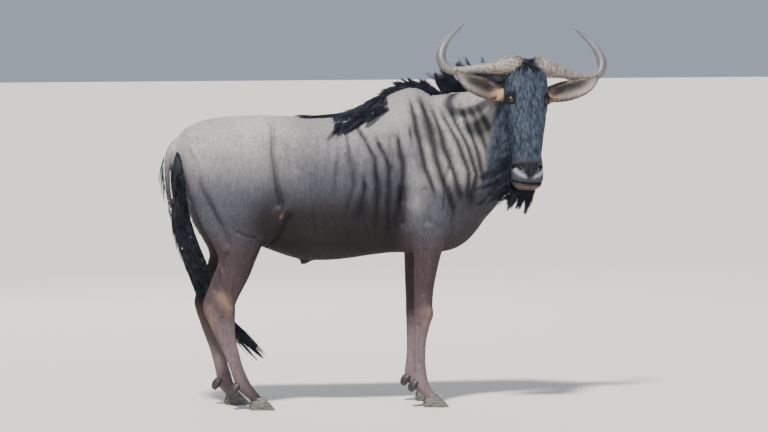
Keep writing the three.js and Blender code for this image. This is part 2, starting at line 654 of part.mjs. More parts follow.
// The tail's tuft: a core with locks that hang along it, and a wisp behind the right hock.
function tuft() {
  const random = randomFrom(3);
  const locks = [];
  const count = 18;
  for (let k = 0; k < count; k++) {
    const t = 0.08 + (0.84 * (k + 0.5)) / count;
    const root = tuftSkin.point(t, k * 2.4);
    const { centre, tangent } = tuftSkin.frame(t, 0);
    const out = root.clone().sub(centre).normalize();
    const lie = tangent.clone().addScaledVector(out, 0.06 - 0.1 * random()).normalize();
    const length = 112 + 40 * random();
    locks.push(lock({ root, out, lie, length, width: 22, rise: 0.05, steps: 3 }));
  }
  const root = tuftSkin.point(0.57, -2.2);
  const [out, lie] = [vec([-1, 0, 0]), vec([0.3, -0.1, -0.95])];
  locks.push(lock({ root, out, lie, length: 330, width: 15, rise: 0.02, steps: 6 }));
  return loftSolid(tuftSkin, 14, 8).add(union(locks));
}
const legsGrown = union(legs.map(({ whole }) => whole(GAP)));
const trunkGrown = loftSolid(trunkSkin, 18, 24, 2 * GAP);
const tailTuft = largest(tuft().subtract(dock(GAP)).subtract(legsGrown).subtract(trunkGrown));

parts.add(meshOf("hindquarters", portion(body, 0), COAT));
parts.add(meshOf("barrel", portion(body, 1), COAT));
parts.add(meshOf("shoulders", portion(body, 2), COAT));
parts.add(meshOf("neck", portion(body, 3), COAT));
parts.add(meshOf("head", portion(body, 4), FACE_COAT));
parts.add(meshOf("tail_dock", dock(0), COAT));
parts.add(meshOf("tail_tuft", tailTuft, HAIR));
for (const [k, side] of [-1, 1].entries()) {
  const name = sideName(side);
  parts.add(meshOf(`horn_${name}`, horns[k](0), HORN_SHEATH));
  parts.add(meshOf(`ear_${name}`, earAt(side)(0), EAR_COAT));
  parts.add(meshOf(`eye_${name}`, eyeAt(side)(0), EYE));
}

// The origin is on the floor under the middle of the whole animal.
const extent = new THREE.Box3().setFromObject(parts);
const middle = extent.getCenter(new THREE.Vector3());
for (const mesh of parts.children) mesh.geometry.translate(-middle.x, -middle.y, -extent.min.z);

export default parts;
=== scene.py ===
# %% [markdown]
# # A blue wildebeest bull
# A still, life-size figure of a standing bull with its head turned to its right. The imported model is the
# frame: it fixes the size and the place of every part, and each Blender piece stands for some of its nodes.
# Everything is in metres, +X towards the shoulders, +Y to the animal's left, +Z up.

import math

import bpy
import numpy as np
from mathutils import Matrix, Vector


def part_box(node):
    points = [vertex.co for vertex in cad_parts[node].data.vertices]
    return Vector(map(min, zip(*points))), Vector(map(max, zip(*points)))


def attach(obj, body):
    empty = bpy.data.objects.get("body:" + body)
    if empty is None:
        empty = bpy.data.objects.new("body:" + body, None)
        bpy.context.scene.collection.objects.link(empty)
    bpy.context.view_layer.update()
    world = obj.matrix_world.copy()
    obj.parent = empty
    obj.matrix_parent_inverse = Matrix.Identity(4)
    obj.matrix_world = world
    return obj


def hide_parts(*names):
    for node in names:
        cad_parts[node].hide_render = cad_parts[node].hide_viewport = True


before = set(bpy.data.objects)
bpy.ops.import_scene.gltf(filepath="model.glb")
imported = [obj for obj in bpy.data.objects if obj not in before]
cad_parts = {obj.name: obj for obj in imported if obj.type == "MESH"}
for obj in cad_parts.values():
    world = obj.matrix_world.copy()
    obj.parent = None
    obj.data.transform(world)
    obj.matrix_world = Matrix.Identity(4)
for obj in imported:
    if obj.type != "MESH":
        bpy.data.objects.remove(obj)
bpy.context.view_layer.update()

# %% [markdown]
# ## Camera and light
# The picture was taken with a long lens from some twenty metres, 10 degrees behind square to the right side
# and 4 degrees above the horizon. A 250 mm lens at 22 m shows 3.17 m across, 4.13 mm a pixel. A small high
# sun gives the form its shadows, and two wide lamps and a pale sky keep those shadows soft.

# %% Camera
PIXEL = 4.13e-3  # metres across one pixel of the picture at the animal
PICTURE = (768, 432)  # the picture's size in pixels
ORIGIN_SEEN = (300, 406)  # the pixel at which the tables' origin shows
BARREL_REAR = -0.05985  # metres; the barrel's rear edge in the body's own tables
barrel_low, barrel_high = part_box("barrel")
# The frame's origin, as x and y in the body's own tables.
MIDDLE = np.array([BARREL_REAR - barrel_low[0], -(barrel_low[1] + barrel_high[1]) / 2])
AZIMUTH, ELEVATION = math.radians(-10), math.radians(4)
DISTANCE, FOCAL_MM = 22.0, 250
across = Vector((math.cos(AZIMUTH), math.sin(AZIMUTH), 0))
flat_share = math.cos(ELEVATION)
back = Vector((math.sin(AZIMUTH) * flat_share, -math.cos(AZIMUTH) * flat_share, math.sin(ELEVATION)))
upward = back.cross(across)
floor_middle = Vector((-MIDDLE[0], -MIDDLE[1], 0))
target = floor_middle + across * ((PICTURE[0] / 2 - ORIGIN_SEEN[0]) * PIXEL)
target = target + upward * ((ORIGIN_SEEN[1] - PICTURE[1] / 2) * PIXEL)
lens = bpy.data.cameras.new("camera")
lens.lens = FOCAL_MM
lens.sensor_width = PICTURE[0] * PIXEL * lens.lens / DISTANCE
lens.clip_end = 100
camera = bpy.data.objects.new("camera", lens)
bpy.context.collection.objects.link(camera)
camera.matrix_world = Matrix.Translation(target + back * DISTANCE) @ Matrix(
    (across, upward, back)
).transposed().to_4x4()
bpy.context.scene.camera = camera
print("camera at", [round(v, 3) for v in target + back * DISTANCE])


# %% Light
def lamp(name, kind, energy, turn, size=1.0, place=(0, 0, 0), colour=(1, 1, 1)):
    data = bpy.data.lights.new(name, kind)
    data.energy = energy
    data.color = colour
    setattr(data, {"AREA": "size", "SUN": "angle"}[kind], size)
    light = bpy.data.objects.new(name, data)
    light.location = place
    light.rotation_euler = [math.radians(v) for v in turn]
    bpy.context.collection.objects.link(light)


lamp("high_sun", "SUN", 7.6, (34, -12, -6), 0.1, colour=(1, 0.97, 0.93))
lamp("front_fill", "AREA", 150, (72, 0, 4), 4, (0.4, -5.5, 2.4), colour=(0.8, 0.9, 1))
lamp("rear_fill", "AREA", 110, (-60, 0, 10), 4, (-0.6, 5, 3.2))
world = bpy.data.worlds.new("studio")
world.use_nodes = True
world.node_tree.nodes["Background"].inputs["Color"].default_value = (0.7, 0.8, 0.96, 1)
world.node_tree.nodes["Background"].inputs["Strength"].default_value = 0.5
bpy.context.scene.world = world
print("lamps", [light.name for light in bpy.data.lights])


# %% [markdown]
# ## Colours and node helper
# Colours are written as sRGB hex, as a colour picker shows them, and turned to linear once.

# %% Node helper
def linear(code, alpha=1.0):
    values = [int(code[i : i + 2], 16) / 255 for i in (1, 3, 5)]
    return [v / 12.92 if v <= 0.04045 else ((v + 0.055) / 1.055) ** 2.4 for v in values] + [alpha]


def add(tree, kind, links=(), **settings):
    """A node with its settings; links pairs an input of it with an output of another node."""
    node = tree.nodes.new(kind)
    for key, value in settings.items():
        if hasattr(node, key):
            setattr(node, key, value)
        else:
            node.inputs[key.replace("_", " ")].default_value = value
    for socket, source in links:
        tree.links.new(source, node.inputs[socket])
    return node


def new_material(name):
    material = bpy.data.materials.new(name)
    material.use_nodes = True
    material.node_tree.nodes.clear()
    return material, material.node_tree


def finish_material(tree, links, normal=None, **settings):
    shader = add(tree, "ShaderNodeBsdfPrincipled", links)
    for key, value in settings.items():
        shader.inputs[key.replace("_", " ")].default_value = value
    if normal:
        tree.links.new(normal, shader.inputs["Normal"])
    output = add(tree, "ShaderNodeOutputMaterial")
    tree.links.new(shader.outputs["BSDF"], output.inputs["Surface"])
    return shader


# %% [markdown]
# ## Floor
# The floor is a wide board under matt emulsion, rolled on: it has no shine, so it only takes the shadow.

# %% Floor
floor_material, tree = new_material("pale_floor")
finish_material(tree, [], Base_Color=linear("#cfc9c0"), Roughness=0.85)
bpy.ops.mesh.primitive_plane_add(size=60, location=(0, 0, 0))
floor = bpy.context.object
floor.name = "floor"
floor.data.materials.append(floor_material)
print("floor", tuple(floor.dimensions))

# %% [markdown]
# ## The body's tables
# The same stations as the part's source, in millimetres: each row is a section of the body. A skin over them
# gives the masses; muscles, folds and tendons come later as strokes. A row holds the section's middle (x, y,
# z), its reach to one side and to the other, its half width, and how square each half is. The trunk's rows
# hold x, top, bottom, half width and the height of the widest place instead. The head, the horns and the ears
# have their own frame: across, forward, down.

# %% Tables of the body
HEAD_ORIGIN = np.array([905.0, -215, 1420])
HEAD_TURN, HEAD_PITCH, HEAD_ROLL = -84, 10, -2.7
EYE_AT = np.array([73.0, 34, 158])
EYE_RADIUS = 20.0
SIDES = {1: "left", -1: "right"}
TRUNK = [
    [-538, 1062, 1000, 28, 1032, 2, 2],
    [-524, 1102, 935, 76, 1016, 2, 2],
    [-476, 1158, 860, 132, 1000, 2, 2],
    [-390, 1194, 775, 172, 990, 2.1, 2],
    [-280, 1208, 706, 184, 975, 2.2, 2.1],
    [-150, 1210, 655, 195, 940, 2.1, 2.2],
    [-20, 1206, 610, 210, 905, 2, 2.2],
    [100, 1205, 600, 220, 895, 1.9, 2.1],
    [210, 1222, 608, 220, 900, 1.8, 2.1],
    [300, 1262, 620, 212, 910, 1.7, 2.1],
    [390, 1308, 628, 202, 915, 1.65, 2.1],
    [470, 1328, 626, 192, 920, 1.65, 2.1],
    [550, 1290, 640, 148, 930, 1.7, 2.1],
    [625, 1200, 690, 92, 930, 1.8, 2],
    [680, 1060, 780, 40, 920, 2, 2],
]
NECK = [
    [470, 0, 1000, 322, 366, 174, 1.75, 2.1],
    [560, -2, 1005, 316, 376, 172, 1.75, 2.1],
    [650, -14, 1040, 286, 300, 143, 1.8, 2],
    [735, -44, 1095, 238, 248, 118, 1.8, 2],
    [805, -82, 1150, 190, 196, 99, 1.8, 2],
    [858, -125, 1205, 152, 166, 86, 1.9, 2],
    [888, -172, 1258, 122, 155, 78, 2, 2],
    [896, -215, 1300, 90, 130, 68, 2, 2],
]
HEAD = [
    [0, -8, -20, 20, 36, 34, 2, 2],
    [0, -4, -4, 44, 70, 62, 2.3, 2],
    [0, 0, 36, 62, 100, 82, 2.5, 2],
    [0, 0, 90, 70, 124, 92, 2.6, 2],
    [0, 0, 150, 72, 138, 93, 2.6, 1.9],
    [0, 0, 200, 72, 142, 86, 2.6, 1.9],
    [0, 0, 255, 71, 126, 78, 2.7, 1.9],
    [0, 0, 315, 71, 98, 68, 2.8, 1.9],
    [0, 0, 375, 68, 76, 62, 2.8, 2],
    [0, 0, 425, 63, 64, 66, 2.7, 2.1],
    [0, 0, 462, 58, 60, 69, 2.6, 2.2],
    [0, 0, 494, 48, 54, 68, 2.4, 2.2],
    [0, 0, 516, 32, 44, 57, 2.2, 2.1],
    [0, 0, 530, 12, 24, 34, 2, 2],
]
HORN = [
    [26, 4, 8, 30, 34, 46, 2.4, 2],
    [52, 6, 12, 38, 38, 52, 2.4, 2],
    [82, 6, 15, 37, 37, 50, 2.2, 2],
    [131, 2, 22, 29, 29, 36, 2, 2],
    [186, -14, 28, 20.5, 20.5, 24, 2, 2],
    [240, -28, 35, 18, 18, 19, 2, 2],
    [292, -39, 38, 18.5, 18.5, 18.5, 2, 2],
    [330, -47, 22, 20, 20, 21, 2, 2],
    [346, -56, -12, 21, 21, 21, 2, 2],
    [340, -64, -50, 19, 19, 19, 2, 2],
    [321, -70, -84, 15.5, 15.5, 15.5, 2, 2],
    [297, -76, -112, 11, 11, 11, 2, 2],
    [265, -81, -140, 6.5, 6.5, 6.5, 2, 2],
    [238, -84, -163, 1.6, 1.6, 1.6, 2, 2],
]
LEFT_HORN_SAG = [0, 0, 2, 6, 12, 14, 8, 3, 0, 0, 0, 0, 0, 0]  # the left horn hangs lower here
EAR = [
    [70, -40, 140, 18, 24, 19, 2, 2],
    [98, -39, 131, 27, 34, 20, 2, 2],
    [128, -30, 121, 36, 38, 21, 2, 2],
    [164, -17, 110, 44, 40, 22, 2, 2],
    [206, -3, 98, 45, 37, 19, 2, 2],
    [246, 8, 86, 38, 31, 14, 2, 2],
    [278, 14, 70, 24, 24, 9, 2, 2],
    [306, 17, 44, 6, 7, 3.5, 2, 2],
]
FORELEG = [
    [495, -96, 1150, 66, 66, 30, 2, 2],
    [500, -116, 1050, 84, 86, 46, 2, 2],
    [514, -132, 950, 98, 102, 57, 2, 2],
    [521, -140, 850, 106, 110, 62, 2, 2],
    [518, -140, 780, 102, 106, 58, 2, 2],
    [512, -136, 722, 92, 98, 53, 2.1, 2],
    [507, -130, 668, 78, 64, 47, 2.1, 2],
    [502, -127, 590, 61, 51, 42, 2, 2],
    [497, -125, 500, 46, 44, 35, 2, 2],
    [495, -125, 425, 41, 40, 34, 2.2, 2],
    [496, -125, 382, 43, 41, 38, 2.4, 2.2],
    [490, -125, 336, 35, 34, 32, 2.2, 2.2],
    [483, -125, 270, 27, 27, 24, 2.1, 2.2],
    [481, -125, 190, 26, 27, 23, 2.1, 2.2],
    [483, -125, 125, 31, 37, 29, 2.1, 2.2],
    [490, -125, 90, 34, 40, 32, 2.1, 2.2],
    [508, -125, 62, 34, 34, 32, 2.2, 2.2],
    [524, -125, 42, 34, 30, 32, 2.3, 2.3],
    [530, -125, 32, 30, 27, 30, 2.3, 2.3],
]
HINDLEG = [
    [-345, -92, 1090, 110, 110, 46, 2, 2],
    [-350, -106, 1000, 160, 152, 74, 2, 2],
    [-318, -118, 900, 186, 170, 86, 2.1, 2],
    [-282, -125, 820, 186, 176, 84, 2.1, 2],
    [-280, -129, 750, 152, 151, 69, 2.1, 2],
    [-280, -129, 690, 116, 115, 55, 2, 2],
    [-280, -127, 622, 86, 83, 44, 2, 2],
    [-305, -125, 553, 82, 81, 36, 1.9, 1.7],
    [-328, -123, 500, 77, 77, 33, 1.9, 1.7],
    [-352, -122, 440, 71, 73, 35, 2.1, 1.9],
    [-350, -121, 398, 66, 67, 35, 2.2, 2],
    [-338, -120, 345, 53, 55, 31, 2.2, 2.1],
    [-327, -120, 300, 45, 45, 27, 2.1, 2.2],
    [-306, -120, 240, 37, 36, 24, 2.1, 2.2],
    [-286, -120, 184, 32, 32, 23, 2.1, 2.2],
    [-262, -120, 122, 34, 35, 29, 2.1, 2.2],
    [-244, -120, 88, 38, 40, 32, 2.1, 2.2],
    [-220, -120, 62, 35, 36, 32, 2.2, 2.2],
    [-202, -120, 42, 33, 31, 32, 2.3, 2.3],
    [-194, -120, 32, 30, 27, 30, 2.3, 2.3],
]
DOCK = [
    [-470, 0, 1096, 34, 40, 34, 2, 2],
    [-512, -14, 1090, 28, 28, 30, 2, 2],
    [-543, -34, 1056, 22, 22, 24, 2, 2],
    [-554, -50, 1010, 18, 20, 21, 2, 2],
    [-556, -58, 955, 16, 18, 19, 2, 2],
    [-550, -62, 890, 14, 15, 17, 2, 2],
    [-536, -60, 825, 12, 12, 14, 2, 2],
    [-518, -54, 765, 8, 8, 10, 2, 2],
]
TUFT_CORE = [
    [-518, -76, 1058, 8, 8, 10, 2, 2],
    [-520, -92, 1028, 22, 20, 22, 2, 2],
    [-519, -100, 970, 27, 25, 26, 2, 2],
    [-515, -100, 900, 32, 30, 29, 2, 2],
    [-512, -86, 830, 40, 38, 32, 2, 2],
    [-498, -70, 760, 42, 42, 33, 2, 2],
    [-474, -54, 690, 45, 44, 33, 2, 2],
    [-448, -38, 620, 48, 46, 31, 2, 2],
    [-423, -25, 560, 48, 46, 28, 2, 2],
    [-402, -12, 500, 38, 40, 26, 2, 2],
    [-374, -6, 440, 30, 30, 22, 2, 2],
    [-338, -5, 390, 25, 22, 18, 2, 2],
    [-272, -5, 320, 28, 27, 15, 2, 2],
    [-222, -5, 268, 22, 22, 11, 2, 2],
    [-196, -5, 238, 6, 6, 5, 2, 2],
]
SHEATH = [
    [60, 0, 640, 26, 30, 24, 2, 2],
    [30, 0, 608, 22, 24, 20, 2, 2],
    [8, 0, 592, 13, 14, 12, 2, 2],
    [-2, 0, 584, 5, 5, 5, 2, 2],
]
TRUNK_ROWS = [[x, 0, wide, top - wide, wide - low, half, a, b] for x, top, low, half, wide, a, b in TRUNK]
X, Y, Z = np.eye(3)
print("stations of the trunk", len(TRUNK), "and of the head", len(HEAD))


# %% [markdown]
# ## Skins over stations
# A loft joins the sections with a smooth curve through the stations. A section is a superellipse, so one
# number makes it rounder or squarer.

# %% Loft
def between(table, places):
    """Rows of the table at fractional places, on a smooth curve through them."""
    rows = np.asarray(table, float)
    places = np.clip(np.atleast_1d(places), 0, len(rows) - 1)
    i = np.minimum(places.astype(int), len(rows) - 2)
    u = (places - i)[:, None]
    a, b, c, d = (rows[np.clip(i + k, 0, len(rows) - 1)] for k in (-1, 0, 1, 2))
    bend = (2 * a - 5 * b + 4 * c - d) * u**2 + (3 * b - a - 3 * c + d) * u**3
    return b + 0.5 * ((c - a) * u + bend)


def unit(v):
    return v / np.maximum(np.linalg.norm(v, axis=-1, keepdims=True), 1e-12)


class Skin:
    """A loft over a table's rows. sideways gives the half width's direction, and square, where it is set, is
    the one direction that all sections are square to; otherwise each is square to the course."""

    def __init__(self, table, sideways=None, square=None):
        self.table = np.asarray(table, float)
        self.sideways = sideways or (lambda course: np.broadcast_to(Y, course.shape))
        self.square = square
        self.last = len(self.table) - 1

    def frames(self, t):
        place = np.atleast_1d(t) * self.last
        rows = between(self.table, place)
        ahead, behind = between(self.table, place + 0.05), between(self.table, place - 0.05)
        course = unit(ahead[:, :3] - behind[:, :3])
        if self.square is not None:
            course = np.broadcast_to(np.asarray(self.square, float), course.shape)
        side = self.sideways(course)
        side = unit(side - np.sum(side * course, 1, keepdims=True) * course)
        return rows, course, side, np.cross(course, side)

    def points(self, t, angle):
        rows, course, side, front = self.frames(t)
        angle = np.atleast_1d(angle)
        c, s = np.cos(angle), np.sin(angle)
        power = 2 / np.where(s >= 0, rows[:, 6], rows[:, 7])
        reach = np.where(s >= 0, rows[:, 3], rows[:, 4])
        out = side * (np.sign(c) * np.abs(c) ** power * rows[:, 5])[:, None]
        out = out + front * (np.sign(s) * np.abs(s) ** power * reach)[:, None]
        return rows[:, :3] + out, unit(out), course, side, front

    def shares(self, rings, sides):
        """How far along each point of mesh(rings, sides) lies, from 0 to 1."""
        return np.concatenate([np.repeat(np.linspace(0, 1, rings + 1), sides), [0, 1]])

    def mesh(self, rings, sides):
        t = np.repeat(np.linspace(0, 1, rings + 1), sides)
        angle = np.tile(np.arange(sides) / sides * 2 * math.pi, rings + 1)
        points = self.points(t, angle)[0]
        r, k = np.meshgrid(np.arange(rings), np.arange(sides), indexing="ij")
        n = (k + 1) % sides
        a, b, c, d = r * sides + k, r * sides + n, (r + 1) * sides + n, (r + 1) * sides + k
        quads = np.stack([a, d, c, b], -1).reshape(-1, 4)
        ends = self.frames([0, 1])[0][:, :3]
        points = np.vstack([points, ends])
        faces = [tuple(q) for q in quads]
        for ring, middle, flip in ((0, len(points) - 2, False), (rings, len(points) - 1, True)):
            for k in range(sides):
                pair = (ring * sides + k, ring * sides + (k + 1) % sides)
                faces.append((middle, *(pair[::-1] if flip else pair)))
        return points, faces


# %% Places on the body
def turned_z(points, degrees):
    c, s = math.cos(math.radians(degrees)), math.sin(math.radians(degrees))
    return points @ np.array([[c, s, 0], [-s, c, 0], [0, 0, 1]])


def to_frame(points):
    """Millimetres of the tables to metres of the frame."""
    return np.asarray(points) / 1000 - np.array([MIDDLE[0], MIDDLE[1], 0])


turn, pitch, roll = (math.radians(v) for v in (HEAD_TURN, HEAD_PITCH, HEAD_ROLL))
heading = np.array([math.cos(turn), math.sin(turn), 0])
face_way = heading * math.cos(pitch) + Z * math.sin(pitch)
head_side = np.cross(Z, heading)
head_side = head_side * math.cos(roll) + np.cross(face_way, head_side) * math.sin(roll)
face_down = np.cross(head_side, face_way)
HEAD_AXES = np.array([head_side, face_way, face_down])


def from_head(points, side=1):
    """Head's own frame (across, forward, down) to the body's; side -1 is the mirror image."""
    return HEAD_ORIGIN + (np.asarray(points, float) * [side, 1, 1]) @ HEAD_AXES


def into_head(points):
    return (np.asarray(points) - HEAD_ORIGIN) @ HEAD_AXES.T


def leg_rows(table, side, step=0.0, start=900.0, tuck=0.0):
    """A leg's stations: step moves it further along x below start, and tuck draws the hoof under."""
    rows = np.array(table, float)
    rows[:, 1] *= -side
    rows[:, 0] += step * np.clip((start - rows[:, 2]) / (start - 120), 0, 1)
    rows[:, 0] += tuck * np.clip((122 - rows[:, 2]) / 90, 0, 1)
    return rows


trunk = Skin(TRUNK_ROWS, square=X)
neck = Skin(NECK, sideways=lambda course: np.cross(Z, course))
head = Skin(HEAD, sideways=lambda course: np.broadcast_to(X, course.shape), square=Z)
left_horn = np.array(HORN, float)
left_horn[:, 2] += LEFT_HORN_SAG
HORNS = {1: Skin(left_horn), -1: Skin(HORN)}
ear = Skin(EAR)
dock = Skin(DOCK)
tail = Skin(TUFT_CORE)
LEGS = {
    ("fore", -1): Skin(leg_rows(FORELEG, -1), square=-Z),
    ("fore", 1): Skin(leg_rows(FORELEG, 1, 13), square=-Z),
    ("hind", -1): Skin(leg_rows(HINDLEG, -1), square=-Z),
    ("hind", 1): Skin(leg_rows(HINDLEG, 1, -38, 430, -30), square=-Z),
}
print("skins", 6 + len(HORNS) + len(LEGS), "head axes", HEAD_AXES.round(3).tolist())


# %% Mesh helpers
def make_object(name, points, faces, smooth=True):
    data = bpy.data.meshes.new(name)
    if isinstance(faces, np.ndarray):
        count, corners = faces.shape
        data.vertices.add(len(points))
        data.vertices.foreach_set("co", np.ascontiguousarray(points, np.float32).ravel())
        data.loops.add(faces.size)
        data.loops.foreach_set("vertex_index", np.ascontiguousarray(faces, np.int32).ravel())
        data.polygons.add(count)
        data.polygons.foreach_set("loop_start", np.arange(0, faces.size, corners, dtype=np.int32))
    else:
        data.from_pydata(np.asarray(points).tolist(), [], faces)
    data.update(calc_edges=True)
    obj = bpy.data.objects.new(name, data)
    bpy.context.collection.objects.link(obj)
    data.shade_smooth() if smooth else data.shade_flat()
    return obj


def set_points(obj, points):
    obj.data.vertices.foreach_set("co", np.ascontiguousarray(points, np.float32).ravel())
    obj.data.update()


def get_points(obj):
    values = np.empty(len(obj.data.vertices) * 3, np.float32)
    obj.data.vertices.foreach_get("co", values)
    return values.reshape(-1, 3).astype(float)


def get_normals(obj):
    values = np.empty(len(obj.data.vertices) * 3, np.float32)
    obj.data.vertex_normals.foreach_get("vector", values)
    return values.reshape(-1, 3).astype(float)


def give(obj, name, values):
    """A vertex attribute, one number a vertex, that materials read by name."""
    layer = obj.data.attributes.new(name, "FLOAT", "POINT")
    layer.data.foreach_set("value", np.ascontiguousarray(values, np.float32))


def place(obj, *nodes, slot=None):
    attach(obj, "root")
    if nodes:
        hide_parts(*nodes)


# %% [markdown]
# ## One skin
# The masses are joined and rebuilt as one even net of small squares by a voxel remesh, so that no seam shows.
# Then the joins are eased by moving each point towards its neighbours, least on the face and the feet.

# %% Skin
def lid_ring(side):
    """A rim of flesh round the eye: a thin ring, a little longer than high, tilted to the face."""
    long_way, short_way = 24, 8
    turns = [np.linspace(0, 2 * math.pi, count + 1)[:-1] for count in (long_way, short_way)]
    a, b = np.meshgrid(*turns, indexing="ij")
    radius, thick = EYE_RADIUS - 0.5, 5.0
    out = radius + thick * np.cos(b)
    ring = np.stack([thick * np.sin(b), out * np.cos(a), out * np.sin(a)], -1)
    turned = turned_z(ring.reshape(-1, 3) * [1, 1.1, 0.9], -32)
    points = from_head(turned + EYE_AT + [8, 4, 0], side)
    i, j = np.meshgrid(np.arange(long_way), np.arange(short_way), indexing="ij")
    n, m = (i + 1) % long_way, (j + 1) % short_way
    corners = [i * short_way + j, n * short_way + j, n * short_way + m, i * short_way + m]
    faces = np.stack(corners, -1).reshape(-1, 4)
    return points, [tuple(f) for f in faces]


def joined(parts_list):
    points, faces, start = [], [], 0
    for p, f in parts_list:
        points.append(p)
        faces += [tuple(i + start for i in face) for face in f]
        start += len(p)
    return np.vstack(points), faces


head_points, head_faces = head.mesh(140, 96)
masses = [trunk.mesh(150, 128), neck.mesh(90, 110), (from_head(head_points), head_faces)]
masses += [Skin(SHEATH).mesh(24, 32), dock.mesh(60, 32), lid_ring(1), lid_ring(-1)]
masses += [leg.mesh(220, 64) for leg in LEGS.values()]
points, faces = joined(masses)
skin = make_object("skin", to_frame(points), faces)
VOXEL = 0.0042
remesh = skin.modifiers.new("even_net", "REMESH")
remesh.mode = "VOXEL"
remesh.voxel_size = VOXEL
bpy.context.view_layer.objects.active = skin
with bpy.context.temp_override(object=skin, active_object=skin):
    bpy.ops.object.modifier_apply(modifier="even_net")
print("skin points", len(skin.data.vertices))


# %% Easing of the joins
def ease(obj, weight, rounds):
    """Moves each point towards the mean of its neighbours, by its weight."""
    edges = np.empty(len(obj.data.edges) * 2, np.int32)
    obj.data.edges.foreach_get("vertices", edges)
    a, b = edges.reshape(-1, 2).T
    p = get_points(obj)
    count = np.bincount(a, minlength=len(p)) + np.bincount(b, minlength=len(p))
    for _ in range(rounds):
        sums = [np.bincount(a, p[b, k], len(p)) + np.bincount(b, p[a, k], len(p)) for k in range(3)]
        p += weight[:, None] * (np.stack(sums, 1) / count[:, None] - p)
    set_points(obj, p)


def smoothstep(low, high, value):
    t = np.clip((value - low) / (high - low), 0, 1)
    return t * t * (3 - 2 * t)


def body_places():
    """The skin's points in the tables' millimetres, and the same points in the head's frame."""
    p = get_points(skin) + np.array([MIDDLE[0], MIDDLE[1], 0])
    return p * 1000, into_head(p * 1000)


p, h = body_places()
on_face = smoothstep(120, -60, h[:, 1] * -1) * smoothstep(150, 110, np.abs(h[:, 0])) * (h[:, 1] > -150)
on_face = on_face * smoothstep(-60, 0, h[:, 2])
low_leg = smoothstep(640, 520, p[:, 2])
dock_near = smoothstep(-505, -525, p[:, 0])
weight = 0.5 * (1 - np.clip(np.maximum.reduce([on_face, low_leg, dock_near]), 0, 1))
ease(skin, weight, 55)
ease(skin, np.full(len(p), 0.5), 2)
print("eased, least where the weight is", weight.min().round(2))

# %% [markdown]
# ## Muscles, bones and folds
# What a living body shows under the coat is drawn as strokes: a line on the body, a width and a height. Each
# lifts or sinks the skin near it. A stroke of the body is drawn on both sides, and one of the head is
# mirrored.

# %% Strokes
def stroke_field(points, path, radius):
    """How near each point is to a path, 1 on it and 0 from about two radii away."""
    path = np.asarray(path, float)
    low, high = path.min(0) - 2.2 * radius, path.max(0) + 2.2 * radius
    near = np.nonzero(np.all((points > low) & (points < high), 1))[0]
    field = np.zeros(len(points))
    if not len(near):
        return field
    q = points[near]
    best = np.full(len(q), np.inf)
    for a, b in zip(path[:-1], path[1:]):
        along = b - a
        t = np.clip(((q - a) @ along) / (along @ along), 0, 1)
        best = np.minimum(best, np.linalg.norm(q - a - t[:, None] * along, axis=1))
    field[near] = np.exp(-2.2 * (best / radius) ** 2)
    return field


def side_stroke(points, normals, path, radius):
    """A stroke seen square from the side, on surfaces that face outwards, whatever the body's width."""
    flat_path = [(x, 0, z) for x, z in path]
    outer = smoothstep(0.1, 0.5, normals[:, 1] * np.sign(points[:, 1]))
    return stroke_field(points * [1, 0, 1], flat_path, radius) * outer


# %% Strokes of body and head
# Lines where skin folds over skin, as points (x, z). They are sunk in the mesh and darkened in the colour
# with painted shade.
FLANK_CREASE = [(-128, 1180), (-138, 1050), (-125, 930), (-108, 845)]
BEHIND_ARM = [(405, 905), (398, 830), (404, 760)]
BEFORE_ARM = [(600, 980), (575, 900), (566, 820)]
HAM_CREASE = [(-441, 940), (-405, 860), (-362, 780)]
